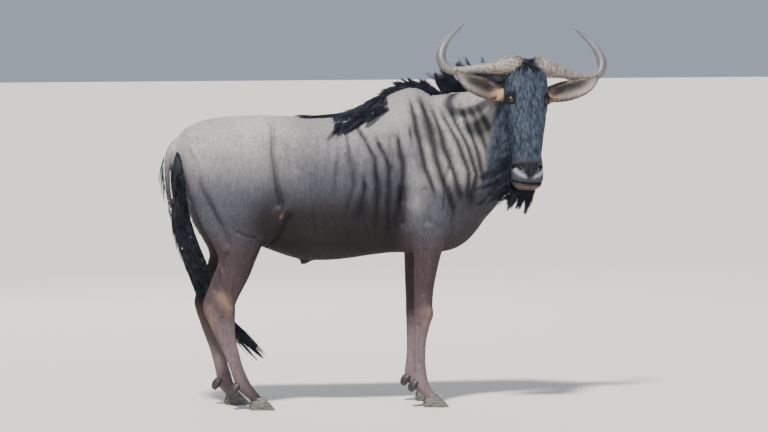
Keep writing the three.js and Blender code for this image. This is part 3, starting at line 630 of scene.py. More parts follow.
# Each body stroke: [height, radius, points (x, z)], drawn on the outer side of the body, left and right.
BODY_STROKES = [
    [9, 46, [(-470, 1150), (-380, 1150), (-300, 1140)]],  # hip
    [-10, 42, [(-140, 1100), (-128, 960), (-118, 850)]],  # hollow before the thigh
    [-8, 40, [(-60, 1110), (-60, 1000)]],  # flank
    [8, 34, [(-96, 830), (-128, 760), (-160, 690)]],  # fold of the flank
    [7, 60, [(-330, 980), (-300, 880), (-260, 790)]],  # thigh
    [-7, 26, [(-430, 950), (-400, 850), (-360, 760), (-330, 690)]],  # seam of the ham
    [6, 24, [(-470, 900), (-440, 800), (-400, 720)]],  # hamstring
    [5, 20, [(-190, 700), (-215, 640), (-240, 590)]],  # shin muscle
    [-5, 14, [(-330, 640), (-360, 560), (-375, 500)]],  # before the heel's cord
    [4, 12, [(-300, 560), (-315, 500), (-310, 450)]],
    [5, 16, [(-330, 455), (-345, 420)]],  # hock bone
    [-4, 12, [(-345, 380), (-330, 300), (-300, 220)]],  # tendon groove
    [5, 10, [(-375, 370), (-352, 300), (-325, 220), (-300, 150)]],
    [12, 56, [(420, 1180), (450, 1060), (500, 960)]],  # shoulder blade
    [-8, 30, [(360, 1120), (385, 960), (400, 860)]],  # behind the shoulder
    [9, 40, [(440, 900), (430, 820), (440, 750)]],  # triceps
    [10, 36, [(560, 900), (560, 830), (545, 780)]],  # point of the shoulder
    [-7, 22, [(490, 900), (490, 830), (500, 770)]],
    [8, 16, [(420, 745), (412, 720)]],  # elbow
    [5, 18, [(530, 660), (520, 580), (510, 500)]],  # forearm
    [-4, 12, [(492, 650), (488, 560), (486, 470)]],
    [4, 14, [(520, 400), (522, 375)]],
    [-4, 10, [(470, 340), (468, 260), (470, 180)]],
    [4, 9, [(455, 330), (456, 240), (460, 160)]],
    [6, 40, [(20, 700), (120, 660), (240, 665)]],  # belly
    [-8, 14, FLANK_CREASE],
    [6, 13, [(-88, 825), (-124, 756), (-168, 695)]],  # edge of the flank's fold
    [-6, 14, [(-70, 800), (-104, 730), (-146, 672)]],
    [6, 24, [(-441, 965), (-398, 880), (-350, 790)]],  # ridge of the thigh
    [-4, 12, [(-290, 733), (-250, 716), (-210, 706)]],
    [6, 10, [(-362, 600), (-335, 520), (-306, 446)]],  # tendon above the hock
    [-6, 18, BEHIND_ARM],
    [-6, 20, BEFORE_ARM],
    [5, 13, [(-470, 1080), (-440, 1020), (-425, 950)]],
]
RIBS = [[3.0, 17, [(x + 26, 1120), (x + 4, 980), (x, 860), (x + 22, 740)]] for x in range(20, 340, 42)]
BODY_RELIEF = 1.45  # the heights above are drawn this much stronger, so that they show under the coat
# Each dark stripe of shoulder and neck: [strength, points (x, z, half width)], from the crest down.
STRIPES = [
    [0.4, [(120, 1025, 6), (114, 954, 7), (108, 895, 6)]],
    [0.65, [(168, 1143, 4), (177, 1071, 5), (189, 923, 7), (162, 817, 4)]],
    [1.0, [(228, 1154, 4), (279, 1035, 7), (291, 893, 9), (291, 751, 6)]],
    [1.0, [(228, 953, 3), (234, 917, 6), (228, 846, 13), (219, 787, 10)]],
    [1.0, [(300, 1105, 4), (342, 999, 9), (336, 863, 7), (348, 720, 7)]],
    [1.0, [(384, 1116, 4), (402, 1010, 9), (390, 891, 10), (375, 756, 9)]],
    [1.0, [(432, 1151, 4), (438, 1104, 4)]],
    [1.0, [(447, 1257, 5), (462, 1139, 9), (492, 1009, 9), (528, 890, 4)]],
    [1.0, [(489, 1287, 8), (516, 1162, 15), (540, 1032, 12), (582, 919, 10), (618, 806, 6)]],
    [1.0, [(528, 1280, 7), (555, 1173, 7), (579, 1067, 9), (624, 954, 7), (653, 865, 9)]],
    [1.0, [(570, 1280, 5), (591, 1185, 5), (639, 1078, 5), (680, 971, 5), (686, 858, 6)]],
    [1.0, [(606, 1285, 6), (633, 1172, 5), (677, 1065, 5), (713, 959, 5), (695, 840, 9)]],
    [1.0, [(648, 1285, 5), (686, 1148, 5), (725, 1006, 6), (761, 881, 7)]],
    [1.0, [(683, 1284, 4), (725, 1148, 9), (767, 1011, 9), (797, 910, 6)]],
    [1.0, [(725, 1272, 6), (737, 1213, 9), (791, 1088, 12), (821, 975, 9)]],
]
HEAD_STROKES = [  # [height, radius, points (across, forward, down)]
    [12, 22, [(64, 58, 118), (82, 46, 128), (92, 30, 138), (94, 12, 158)]],  # brow
    [-9, 17, [(74, 54, 180), (68, 62, 206)]],  # hollow before the eye
    [4, 16, [(90, 8, 186), (86, 30, 198), (76, 46, 204)]],  # lower rim
    [-5, 12, [(92, 6, 206), (84, 36, 220)]],  # fold under the eye
    [-8, 40, [(96, -10, 240), (90, 0, 300)]],
    [-5, 20, [(28, 76, 120), (20, 78, 170)]],
    [5, 16, [(0, 76, 70), (0, 78, 150)]],  # ridge of the forehead
    [8, 46, [(66, -60, 190), (64, -50, 240)]],  # cheek
    [6, 26, [(72, 12, 215), (62, 26, 290), (56, 34, 350)]],  # cheekbone
    [-6, 30, [(56, 50, 290), (50, 50, 360)]],  # beside the nose
    [5, 44, [(0, 74, 190), (0, 74, 300), (0, 70, 380)]],  # bridge of the nose
    [9, 20, [(52, 58, 408), (68, 40, 418), (74, 22, 440), (64, 18, 462)]],  # wing of the nostril
    [-19, 11, [(38, 62, 444), (46, 60, 432), (58, 52, 427), (68, 38, 434)]],  # nostril
    [-9, 8, [(46, 60, 436), (60, 48, 430)]],
    [6, 12, [(26, 66, 452), (44, 60, 458), (62, 44, 456)]],  # pale lower rim of the nostril
    [5, 20, [(30, 60, 470), (58, 40, 482), (74, 10, 480)]],  # upper lip
    [-5, 7, [(0, 58, 440), (0, 54, 478)]],  # furrow of the lip
    [-10, 7, [(0, 46, 507), (40, 38, 505), (62, 14, 490), (70, -14, 466), (68, -34, 446)]],  # mouth
    [4, 12, [(0, 40, 519), (40, 32, 516), (60, 10, 503)]],  # lower lip
    [7, 36, [(40, -96, 230), (34, -80, 330), (36, -50, 420)]],  # jaw
    [6, 30, [(38, 52, 30), (58, 44, 60)]],  # root of the horn
]


def mirrored(paths):
    """The paths and their mirror images on the other side."""
    return [np.asarray(path, float) * [1, way, 1] for path in paths for way in (-1, 1)]


p, h = body_places()
lift = np.zeros(len(p))
normals = get_normals(skin)
for height, radius, path in BODY_STROKES + RIBS:
    lift += BODY_RELIEF * height * side_stroke(p, normals, path, radius) * (h[:, 1] < -70)
for height, radius, path in HEAD_STROKES:
    path = np.asarray(path, float)
    for side in ((1,) if np.all(path[:, 0] == 0) else (1, -1)):
        lift += height * stroke_field(h, path * [side, 1, 1], radius)


def spread(points, paths, radius):
    """The strongest of several strokes at each point."""
    return np.maximum.reduce([stroke_field(points, path, radius) for path in paths])


def stripe_and_crease_field(points):
    """Darkness of the stripes of neck, shoulder and ribs, with wavering edges and ragged widths, and painted
    shade along the skin's creases.
    """
    x, y, z = points.T
    field = np.zeros(len(points))
    waver = 3 * np.sin(z / 55 + x / 90) + 1.2 * np.sin(z / 21 + x / 35)
    ragged = 1 + 0.25 * np.sin(z / 29 + x / 40) + 0.12 * np.sin(z / 11 + x / 19)
    flank = smoothstep(30, 90, np.abs(y + smoothstep(620, 850, x) * 90))
    for strength, stripe in STRIPES:
        line = np.array(stripe, float)[::-1]
        middle = np.interp(z, line[:, 1], line[:, 0]) + waver
        half = np.interp(z, line[:, 1], line[:, 2]) * ragged * 1.7 + 2 + 3 * smoothstep(430, 560, x)
        bottom, top = line[0, 1], line[-1, 1]
        ends = smoothstep(bottom - 45, bottom + 25, z) * smoothstep(top + 40, top - 20, z)
        field = np.maximum(field, strength * ends * np.exp(-((np.abs(x - middle) / half) ** 2)))
    flat = points * [1, 0, 1]
    lines = (FLANK_CREASE, BEHIND_ARM, BEFORE_ARM, HAM_CREASE)
    crease_shade = spread(flat, [[(a, 0, b) for a, b in path] for path in lines], 9)
    # The creases behind and before the arm, at the flank and at the ham are painted shade: a dark line where
    # the skin folds.
    return np.maximum(field * flank, 0.6 * crease_shade * smoothstep(90, 140, np.abs(y)))


folds = stripe_and_crease_field(p) * (h[:, 1] < -70)
lift -= 5.0 * folds
# The skin is sunk by the coat's depth, more on the trunk, where the fur is longest. A stroke raises it by
# less than that depth.
beside_head = smoothstep(-130, -70, h[:, 1]) * (np.abs(h[:, 0]) < 160)
on_trunk = smoothstep(640, 760, p[:, 2]) * (1 - beside_head)
coat_depth = 3.5 + 3.5 * on_trunk
headroom = coat_depth - 0.5
lift = np.where(lift > 0, headroom * np.tanh(lift / (1.5 * headroom)), lift) - coat_depth
set_points(skin, get_points(skin) + normals * (lift / 1000)[:, None])
ease(skin, np.full(len(p), 0.4), 1)
print("lift from", lift.min().round(1), "to", lift.max().round(1), "mm")

# %% [markdown]
# ## Markings
# The coat's pattern, and some painted light and shade, is worked out once from where a point lies on the
# body.
# Each marking is a number from 0 to 1, kept on the mesh as an attribute, so that the skin and the tufts over
# it take the same colours.

# %% Markings
NAPE, JAW = from_head((0, -85, 10)), from_head((0, -160, 235))
cut_line = unit(JAW - NAPE)
cut_way = np.array([0.574, -0.819, 0])
cut_way = unit(cut_way - (cut_way @ cut_line) * cut_line)


def head_share(points):
    """1 on the head, 0 behind the plane through nape and jaw."""
    across_head, _, down_head = into_head(points).T
    near = smoothstep(190, 150, np.abs(across_head)) * (down_head > -90) * (down_head < 600)
    return smoothstep(-22, 14, (points - NAPE) @ cut_way) * near


def markings(points):
    """The coat's pattern, with some painted light and shade, as numbers from 0 to 1 at any place."""
    x, y, z = points.T
    face_points = into_head(points)
    s, d, l = face_points.T
    face = head_share(points)
    body = 1 - face
    marks = dict(brindle_and_crease_shade=stripe_and_crease_field(points) * body, face=face)
    # Rump and back are paler on top: partly the coat's own colour, partly painted sunlight on the top of the
    # body.
    rump = smoothstep(860, 1190, z) * smoothstep(60, -200, x)
    marks["pale"] = np.clip(rump + 0.6 * smoothstep(940, 1200, z) * smoothstep(-200, 100, x), 0, 1) * body
    # The belly's underside is darker: partly its dark fur, partly painted shade under the body. The breast
    # and the neck beside the face are darker too.
    under = smoothstep(960, 790, z) * smoothstep(-330, -150, x) * smoothstep(450, 370, x)
    breast = 0.5 * smoothstep(560, 690, x) * smoothstep(1000, 840, z)
    beside_face = smoothstep(768, 812, x) * smoothstep(900, 960, z)
    marks["dark"] = np.clip(under + breast + beside_face, 0, 1) * body
    marks["dust"] = 0.55 * smoothstep(480, 240, z) * body
    shoulder = [((430, 190, 1010), (470, 190, 930), (450, 190, 850))]
    silver = smoothstep(430, 520, x) * smoothstep(860, 980, z) * smoothstep(1010, 760, x)
    marks["pale"] = np.maximum(marks["pale"], 0.75 * silver * body)
    marks["pale"] = np.maximum(marks["pale"], 0.4 * spread(points, mirrored(shoulder), 60) * body)
    marks["brown"] = np.clip(smoothstep(800, 600, z) + 0.4 * smoothstep(-520, -600, x), 0, 1) * body
    # A tan patch on each hock: a painted highlight where the hock stands out.
    hock = [((-350, 150, 470), (-320, 152, 430)), ((-395, 130, 420), (-380, 130, 360))]
    knee = [((510, 150, 395), (505, 150, 350))]
    fold_edge = [((-88, 186, 832), (-108, 180, 792))]
    front = (d > 6) * face
    flat = face_points * [1, 0, 1]
    tan = 0.55 * spread(points, mirrored(hock), 32)
    tan = np.maximum(tan, 0.4 * spread(points, mirrored(knee), 34))
    tan = np.maximum(tan, 0.6 * spread(points, mirrored(fold_edge), 7))
    tan = np.maximum(tan, face * spread(face_points, [((-5, 80, 108), (-5, 80, 150))], 8))
    tan = np.maximum(tan, 0.9 * face * spread(face_points, [((-99, 20, 178), (-96, 16, 270))], 9))
    marks["tan"] = np.maximum(tan, 0.7 * face * spread(face_points, [((99, 14, 182), (94, 12, 226))], 8))
    ways = (1, -1)
    # The eye sockets are painted near black: painted shade in the hollow round each eye.
    socket_shade_paths = [((way * 76, 0, 143), (way * 76, 0, 158)) for way in ways]
    marks["socket"] = face * (d > -30) * smoothstep(0.15, 0.6, spread(flat, socket_shade_paths, 27))
    muzzle = smoothstep(388, 424, l + 0.12 * np.abs(s)) * smoothstep(-40, -8, d)
    marks["bare"] = face * muzzle
    wedge = smoothstep(44, 28, np.abs(s) + 0.42 * (l - 430))
    wedge = wedge * smoothstep(405, 425, l) * smoothstep(490, 474, l)
    marks["pad"] = face * wedge * (d > 20)
    # A pale crescent below each nostril is a painted sheen on the moist bare muzzle.
    crescent = ((16, 476), (36, 470), (54, 456), (58, 446))
    muzzle_sheen_paths = [[(way * a, 0, b) for a, b in crescent] for way in ways]
    marks["crescent"] = front * spread(flat, muzzle_sheen_paths, 11)
    marks["lip"] = front * spread(flat, [((-46, 0, 513), (0, 0, 518), (46, 0, 513))], 5)
    nostril = ((42, 444), (48, 434), (58, 430), (66, 436))
    holes = [[(way * a, 0, b) for a, b in nostril] for way in ways]
    mouth = [((-62, 0, 492), (-40, 0, 503), (0, 0, 505), (40, 0, 503), (62, 0, 492))]
    spot = [((-4, 0, 166), (-4, 0, 178))]
    # Nostrils and the line of the mouth are painted near black: painted shade inside the openings. A dark
    # spot on the face between the eyes is added at 0.7.
    opening_shade = np.maximum(smoothstep(0.3, 0.75, spread(flat, holes, 13)), 0.95 * spread(flat, mouth, 8))
    marks["hole"] = front * np.maximum(opening_shade, 0.7 * spread(flat, spot, 9))
    return marks


p, h = body_places()
marks = markings(p)
give(skin, "tone", np.ones(len(p)))
for name, values in marks.items():
    give(skin, name, np.clip(values, 0, 1))
print("markings", {k: round(float(v.mean()), 3) for k, v in marks.items()})


# %% [markdown]
# ## The coat's colour
# Wildebeest fur is short, glossy and slate grey with a blue cast, brown on the legs, with black-brown
# stripes.
# Some layers are painted light and shade: sunlight on the top of rump and back, shade under the belly, in the
# creases, eye sockets, nostrils and mouth, a highlight on the hocks, and a sheen on face and muzzle. One set
# of nodes reads the markings, so skin and tufts agree wherever they meet.

# %% Coat colour
GROUND = "#3f3f46"  # slate grey, the colour of the coat where no marking lies
# Each layer of colour in turn: the marking it follows, how strong it is, and its colour.
COAT_LAYERS = [
    # Pale: the top of rump and back, partly the coat's own colour and partly painted sunlight; and the paler
    # neck and shoulder.
    ("pale", 1, "#96918e"),
    ("brown", 1, "#3a2f31"),
    ("dust", 1, "#78686a"),
    # Dark: the belly's dark fur with painted shade under the body, the breast and the neck beside the face.
    ("dark", 1, "#1e1a1c"),
    # Stripes of neck, shoulder and ribs, with painted shade along the creases.
    ("brindle_and_crease_shade", 0.93, "#0e0e14"),
    # The face's hair streaks, whose light streaks are a painted blue sheen.
    ("face", 1, None),  # the face's own streaks
    # Painted shade in the eye sockets.
    ("socket", 0.9, "#050507"),
    # Tan, with a painted highlight on the hocks.
    ("tan", 0.8, "#8a6f5c"),
    ("bare", 1, "#34343b"),
    # Painted sheen on the moist muzzle below the nostrils.
    ("crescent", 0.9, "#8b8a93"),
    ("pad", 0.9, "#0f1015"),
    ("lip", 0.8, "#6f4b40"),
    # Painted shade in nostrils and mouth, and a dark spot between the eyes.
    ("hole", 1, "#030304"),
]
# Hairs are a tenth of a millimetre across, and lie in clumps of a few millimetres; neither shows at this
# distance, so clumps are drawn coarser, at 9 mm on the body and 10 mm on the face.
CLUMP_MM, FACE_CLUMP_MM, CLOUD_MM = 9.0, 10, 140


def coat_colour(tree):
    """The coat's colour from the markings, and the places, drawn out along the hair, that its grain uses."""
    places = add(tree, "ShaderNodeTexCoord").outputs["Object"]
    lie = add(tree, "ShaderNodeMapping", [("Vector", places)], Scale=(1, 1, 0.35)).outputs[0]
    clumps = add(tree, "ShaderNodeTexNoise", [("Vector", lie)], Scale=1000 / CLUMP_MM, Detail=3.0)
    clouds = add(tree, "ShaderNodeTexNoise", [("Vector", places)], Scale=1000 / CLOUD_MM, Detail=2.0)
    face_hair = add(
        tree, "ShaderNodeTexNoise", [("Vector", lie)], Scale=1000 / FACE_CLUMP_MM, Detail=4.0, Roughness=0.65
    )
    streaks = add(
        tree, "ShaderNodeMapRange", [("Value", face_hair.outputs["Fac"])], From_Min=0.32, From_Max=0.7
    )
    # The face's streaks run from near black to light blue grey; the light streaks are a painted blue sheen of
    # the glossy black hair.
    face_grain_and_sheen = add(tree, "ShaderNodeMix", [("Factor", streaks.outputs[0])], data_type="RGBA")
    face_grain_and_sheen.inputs[6].default_value = linear("#0c0f14")
    face_grain_and_sheen.inputs[7].default_value = linear("#3f4856")
    colour = None
    for marking, strength, code in COAT_LAYERS:
        share = add(tree, "ShaderNodeAttribute", attribute_name=marking).outputs["Fac"]
        if strength != 1:
            share = add(tree, "ShaderNodeMath", [(0, share)], operation="MULTIPLY").outputs[0]
            share.node.inputs[1].default_value = strength
        layer = add(tree, "ShaderNodeMix", [("Factor", share)], data_type="RGBA")
        if colour is None:
            layer.inputs[6].default_value = linear(GROUND)
        else:
            tree.links.new(colour, layer.inputs[6])
        if code:
            layer.inputs[7].default_value = linear(code)
        else:
            tree.links.new(face_grain_and_sheen.outputs[2], layer.inputs[7])
        colour = layer.outputs[2]
    tone = add(tree, "ShaderNodeAttribute", attribute_name="tone").outputs["Fac"]
    for noise, least, most in ((clumps, 0.8, 1.16), (clouds, 0.88, 1.1)):
        shade = add(tree, "ShaderNodeMapRange", [("Value", noise.outputs["Fac"])], From_Min=0.3, From_Max=0.7)
        shade.inputs["To Min"].default_value = least
        shade.inputs["To Max"].default_value = most
        links = [(0, tone), (1, shade.outputs[0])]
        tone = add(tree, "ShaderNodeMath", links, operation="MULTIPLY").outputs[0]
    toned = add(tree, "ShaderNodeHueSaturation", [("Color", colour), ("Value", tone)])
    return toned.outputs[0], lie


# %% Short fur's material
# Wildebeest fur: dense, short guard hairs that lie flat and carry a little skin oil. It gives the eye a soft
# satin and no clear glint. The muzzle is bare, moist skin and a little smoother. Single hairs are drawn as
# ridges of 5 mm, and the muzzle's pebbles, of a millimetre in life, at 3.2 mm, so that they show.
HAIR_MM, PEBBLE_MM = 5, 3.2
fur_coat, tree = new_material("short_glossy_fur")
colour, lie = coat_colour(tree)
hairs = add(tree, "ShaderNodeTexNoise", [("Vector", lie)], Scale=1000 / HAIR_MM, Detail=4.0, Roughness=0.6)
fine = add(tree, "ShaderNodeBump", [("Height", hairs.outputs["Fac"])], Strength=0.35, Distance=0.0016)
spots = add(tree, "ShaderNodeTexCoord").outputs["Object"]
grain = add(tree, "ShaderNodeTexVoronoi", [("Vector", spots)], Scale=1000 / PEBBLE_MM)
links = [("Height", grain.outputs["Distance"]), ("Normal", fine.outputs[0])]
pebbles = add(tree, "ShaderNodeBump", links, Strength=0.2, Distance=0.0006)
bare = add(tree, "ShaderNodeAttribute", attribute_name="bare").outputs["Fac"]
roughness = add(tree, "ShaderNodeMapRange", [("Value", bare)], To_Min=0.56, To_Max=0.42)
links = [("Base Color", colour), ("Roughness", roughness.outputs[0])]
finish_material(tree, links, pebbles.outputs[0], Specular_IOR_Level=0.16)
skin.data.materials.append(fur_coat)
apart = ("horn", "eye", "ear", "tail_tuft")
flesh = [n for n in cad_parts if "toe" not in n and "dewclaw" not in n and not n.startswith(apart)]
place(skin, *flesh, slot="coat")
print("skin stands for", len(flesh), "nodes")

# %% [markdown]
# ## Tufts of short fur
# The flat coat is mostly bump. Small tufts of real mesh break it up on every side: each is a thin, bent,
# three-sided blade that lies along the body, shortest on face and legs. A tuft takes its markings from its
# root, and its place on the bake map from the same root, with the body opened out part by part.

# %% Unwrap of the roots
FUR_TUFTS = 60000
PATCH = 0.003  # side of one tuft's patch on the bake map


def unwrap(points, on_tail=False):
    """Where each root lies on the opened-out body: along its part and round it, in that part's rectangle."""
    x, y, z = points.T

    def rectangle(low, high, along, turn_share):
        share = np.clip(np.stack([along, turn_share], 1), 0, 0.99)
        return np.asarray(low) + share * (np.asarray(high) - low)

    def round_share(a, b):
        return np.arctan2(b, a) / (2 * math.pi) + 0.5

    if on_tail:
        rows = np.array(TUFT_CORE, float)[::-1]
        middle = np.interp(z, rows[:, 2], rows[:, 0])
        turn_share = round_share(x - middle, y - np.interp(z, rows[:, 2], rows[:, 1]))
        return rectangle((0.92, 0.5), (0.995, 0.99), turn_share, z / 1200)
    line_x = [-550, 470, 650, 805, 896]
    middle_y = np.interp(x, line_x, [0, 0, -14, -82, -215])
    middle_z = np.interp(x, line_x, [950, 1000, 1040, 1150, 1300])
    uv = rectangle((0.005, 0.01), (0.995, 0.48), (x + 620) / 1660, round_share(y - middle_y, z - middle_z))
    across_head, ahead, down = into_head(points).T
    on_head = head_share(points) > 0.5
    turn_share = round_share(ahead, across_head)
    uv[on_head] = rectangle((0.005, 0.5), (0.3, 0.99), (down + 90) / 690, turn_share)[on_head]
    for k, ((kind, side), leg) in enumerate(LEGS.items()):
        rows = leg.table[::-1]
        middle = np.interp(z, rows[:, 2], rows[:, 0])
        turn_share = round_share(x - middle, y - np.interp(z, rows[:, 2], rows[:, 1]))
        here = (z < 680) & ((x > 200) == (kind == "fore")) & ((y > 0) == (side > 0)) & ~on_head
        uv[here] = rectangle((0.31 + 0.15 * k, 0.5), (0.45 + 0.15 * k, 0.99), turn_share, z / 690)[here]
    return uv


def bake_map(obj, root_places, corner_places):
    """The OFBake map: every tuft is a small patch at its root's place, with one tuft's corners the same."""
    uv = obj.data.uv_layers.new(name="OFBake")
    points = (root_places[:, None] + np.asarray(corner_places)[None] * PATCH).reshape(-1, 2)
    loops = np.empty(len(obj.data.loops), np.int32)
    obj.data.loops.foreach_get("vertex_index", loops)
    uv.data.foreach_set("uv", points[loops].astype(np.float32).ravel())


print("patch of the bake map", PATCH)

# %% Roots and lie of the short fur
p, h = body_places()
outs = get_normals(skin)
fur_rng = np.random.default_rng(8)
low = smoothstep(760, 560, p[:, 2])
small = np.maximum(marks["face"], low)
bald = (marks["hole"] > 0.25) | (marks["bare"] > 0.35) | (p[:, 2] < 66)
chance = (1 + 0.9 * marks["face"] + 0.5 * low) * ~bald
count = min(FUR_TUFTS, int((chance > 0).sum()))
roots_at = fur_rng.choice(len(p), count, replace=False, p=chance / chance.sum())
down_body = np.array([-0.85, 0, -0.5]) + smoothstep(300, 560, p[:, 0])[:, None] * [0.35, 0, -0.35]
lie_way = down_body * (1 - low[:, None]) + np.array([-0.12, 0, -1.0]) * low[:, None]
lie_way = lie_way * (1 - marks["face"][:, None]) + HEAD_AXES[2] * marks["face"][:, None]
print("roots", len(roots_at))


# %% Short fur
def fur_piece(name, picks, slot):
    """Tufts at the picked points of the skin: two rings of three corners and a tip each."""
    n = outs[picks]
    lie = lie_way[picks] + fur_rng.normal(size=(len(picks), 3)) * 0.09
    lie = unit(lie - np.sum(lie * n, 1, keepdims=True) * n)
    side = np.cross(n, lie)
    size = 1 - 0.45 * small[picks]
    length = ((15 * size) * (0.7 + 0.6 * fur_rng.random(len(picks))))[:, None]
    half = (1.15 * size)[:, None]
    rise = (0.4 * size * (0.6 + 0.8 * fur_rng.random(len(picks))))[:, None]
    root = p[picks]
    middle = root + lie * length * 0.45
    rings = [root + side * half - n, root - side * half - n, root + n * 0.1]
    raised = middle + n * rise * 0.5
    rings += [raised + side * half * 0.8, raised - side * half * 0.8, middle + n * (rise + 0.2)]
    rings += [root + lie * length + n * rise * 0.8]
    points = np.stack(rings, 1).reshape(-1, 3)
    one = [(0, 1, 2)]
    for k in range(3):
        m = (k + 1) % 3
        one += [(k, 3 + k, 3 + m), (k, 3 + m, m), (3 + k, 6, 3 + m)]
    faces = (np.arange(len(picks))[:, None, None] * 7 + np.array(one)[None]).reshape(-1, 3)
    obj = make_object(name, to_frame(points), faces, smooth=False)
    for key, values in marks.items():
        give(obj, key, np.clip(np.repeat(values[picks], 7), 0, 1))
    swing = 0.1 + 0.5 * marks["face"][picks]
    tone = 1 + 0.6 * swing + swing * fur_rng.normal(size=len(picks)).clip(-1.5, 2)
    give(obj, "tone", np.repeat(tone, 7).clip(0.2, 3))
    bake_map(obj, unwrap(root), [(0, 0), (1, 0), (0.5, 0), (0, 0.5), (1, 0.5), (0.5, 0.5), (0.5, 1)])
    obj.data.materials.append(fur_coat)
    place(obj, slot=slot)
    return len(faces)


is_face = marks["face"][roots_at] > 0.5
is_leg = (p[roots_at, 2] < 640) & ~is_face
trunk_roots = roots_at[~is_face & ~is_leg]
trunk_roots = trunk_roots[np.argsort(p[trunk_roots, 0])]
counts = [fur_piece("fur_of_face", roots_at[is_face], "face")]
counts.append(fur_piece("fur_of_legs", roots_at[is_leg], "leg_coat"))
for name, picks in zip(("rump", "flank", "shoulder"), np.array_split(trunk_roots, 3)):
    counts.append(fur_piece(f"fur_of_{name}", picks, "coat"))
print("tufts", len(roots_at), "triangles a piece", counts)

# %% [markdown]
# ## Horns
# Horn is keratin over bone: pale, cracked and knobbly over the boss where the two meet, smooth and grey
# towards the tips. The relief is in the mesh, with finer grain as bump.

# %% Horns
def noise3(points, scale, seed):
    """Smooth value noise without any texture file: sums of sines in seeded directions."""
    rng = np.random.default_rng(seed)
    total = np.zeros(len(points))
    for octave in range(3):
        ways = rng.normal(size=(6, 3))
        phases = rng.random(6) * 6.28
        total += np.sin(points @ ways.T * (2.2 * 2**octave / scale) + phases).sum(1) / 6 / 1.7**octave
    return total


def horn_piece(side):
    rings, sides = 190, 64
    horn = HORNS[side]
    points, faces = horn.mesh(rings, sides)
    t = horn.shares(rings, sides)
    centre = horn.frames(t)[0][:, :3]
    out = unit(points - centre)
    boss = smoothstep(0.42, 0.12, t)
    wave = np.sin(t * 170 + 2.4 * noise3(points, 60, 5))
    relief = boss * (2.4 * noise3(points, 24, 2) + 1.3 * noise3(points, 9, 3))
    relief = relief + smoothstep(0.66, 0.2, t) * 1.1 * wave
    points = points + out * (relief * np.clip(t * 30, 0, 1))[:, None]
    obj = make_object(f"horn_sheath_{SIDES[side]}", to_frame(from_head(points, side)), faces)
    if side < 0:
        obj.data.flip_normals()
    give(obj, "along", t)
    return obj


# %% Horn's material
# Horn: keratin grown over a bone core, cracked by weather at the boss and polished by rubbing at the tip.
# So the base is dull and grimy and the tip has a satin glint. Cracks are under a millimetre wide in life and
# are drawn at 4 mm; the grime between the knobs is drawn at 9 mm.
CRACK_MM, GRIME_MM = 4, 9
horn_keratin, tree = new_material("horn_keratin")
along = add(tree, "ShaderNodeAttribute", attribute_name="along").outputs["Fac"]
tints = add(tree, "ShaderNodeValToRGB", [("Fac", along)])
stops = [(0.0, "#38302c"), (0.12, "#857a73"), (0.36, "#7f766f")]
stops += [(0.6, "#55504f"), (0.82, "#66666c"), (1.0, "#4d4d52")]
for k, (at, code) in enumerate(stops):
    stop = tints.color_ramp.elements[k] if k < 2 else tints.color_ramp.elements.new(at)
    stop.position, stop.color = at, linear(code)
spots = add(tree, "ShaderNodeTexCoord").outputs["Object"]
grime = add(tree, "ShaderNodeTexNoise", [("Vector", spots)], Scale=1000 / GRIME_MM, Detail=5.0)
grime.inputs["Roughness"].default_value = 0.65
tone = add(tree, "ShaderNodeMapRange", [("Value", grime.outputs["Fac"])], From_Min=0.36, From_Max=0.62)
tone.inputs["To Min"].default_value = 0.2
tone.inputs["To Max"].default_value = 1.25
smooth_end = add(tree, "ShaderNodeMapRange", [("Value", along)], From_Min=0.25, From_Max=0.6)
links = [("Factor", smooth_end.outputs[0]), (2, tone.outputs[0])]
even = add(tree, "ShaderNodeMix", links, data_type="FLOAT")
even.inputs[3].default_value = 1.0
worn = add(tree, "ShaderNodeHueSaturation", [("Color", tints.outputs[0]), ("Value", even.outputs[0])])
cracks = add(tree, "ShaderNodeTexNoise", [("Vector", spots)], Scale=1000 / CRACK_MM, Detail=5.0)
cracks.inputs["Roughness"].default_value = 0.7
rough_bump = add(tree, "ShaderNodeBump", [("Height", cracks.outputs["Fac"])], Strength=0.45, Distance=0.0014)
gloss = add(tree, "ShaderNodeMapRange", [("Value", along)], From_Min=0.1, From_Max=0.8)
gloss.inputs["To Min"].default_value = 0.6
gloss.inputs["To Max"].default_value = 0.33
links = [("Base Color", worn.outputs[0]), ("Roughness", gloss.outputs[0])]
finish_material(tree, links, rough_bump.outputs[0])
for side, name in SIDES.items():
    piece = horn_piece(side)
    piece.data.materials.append(horn_keratin)
    place(piece, f"horn_{name}", slot="horn")
print("horns built")

# %% [markdown]
# ## Ears
# An ear is a leaf of cartilage rolled to a cup. Its section is a crescent. The outer face is furred and tan
# near the root. The cup is paler, with a thin dark rim; the middle of its hollow is darkened with painted
# shade.

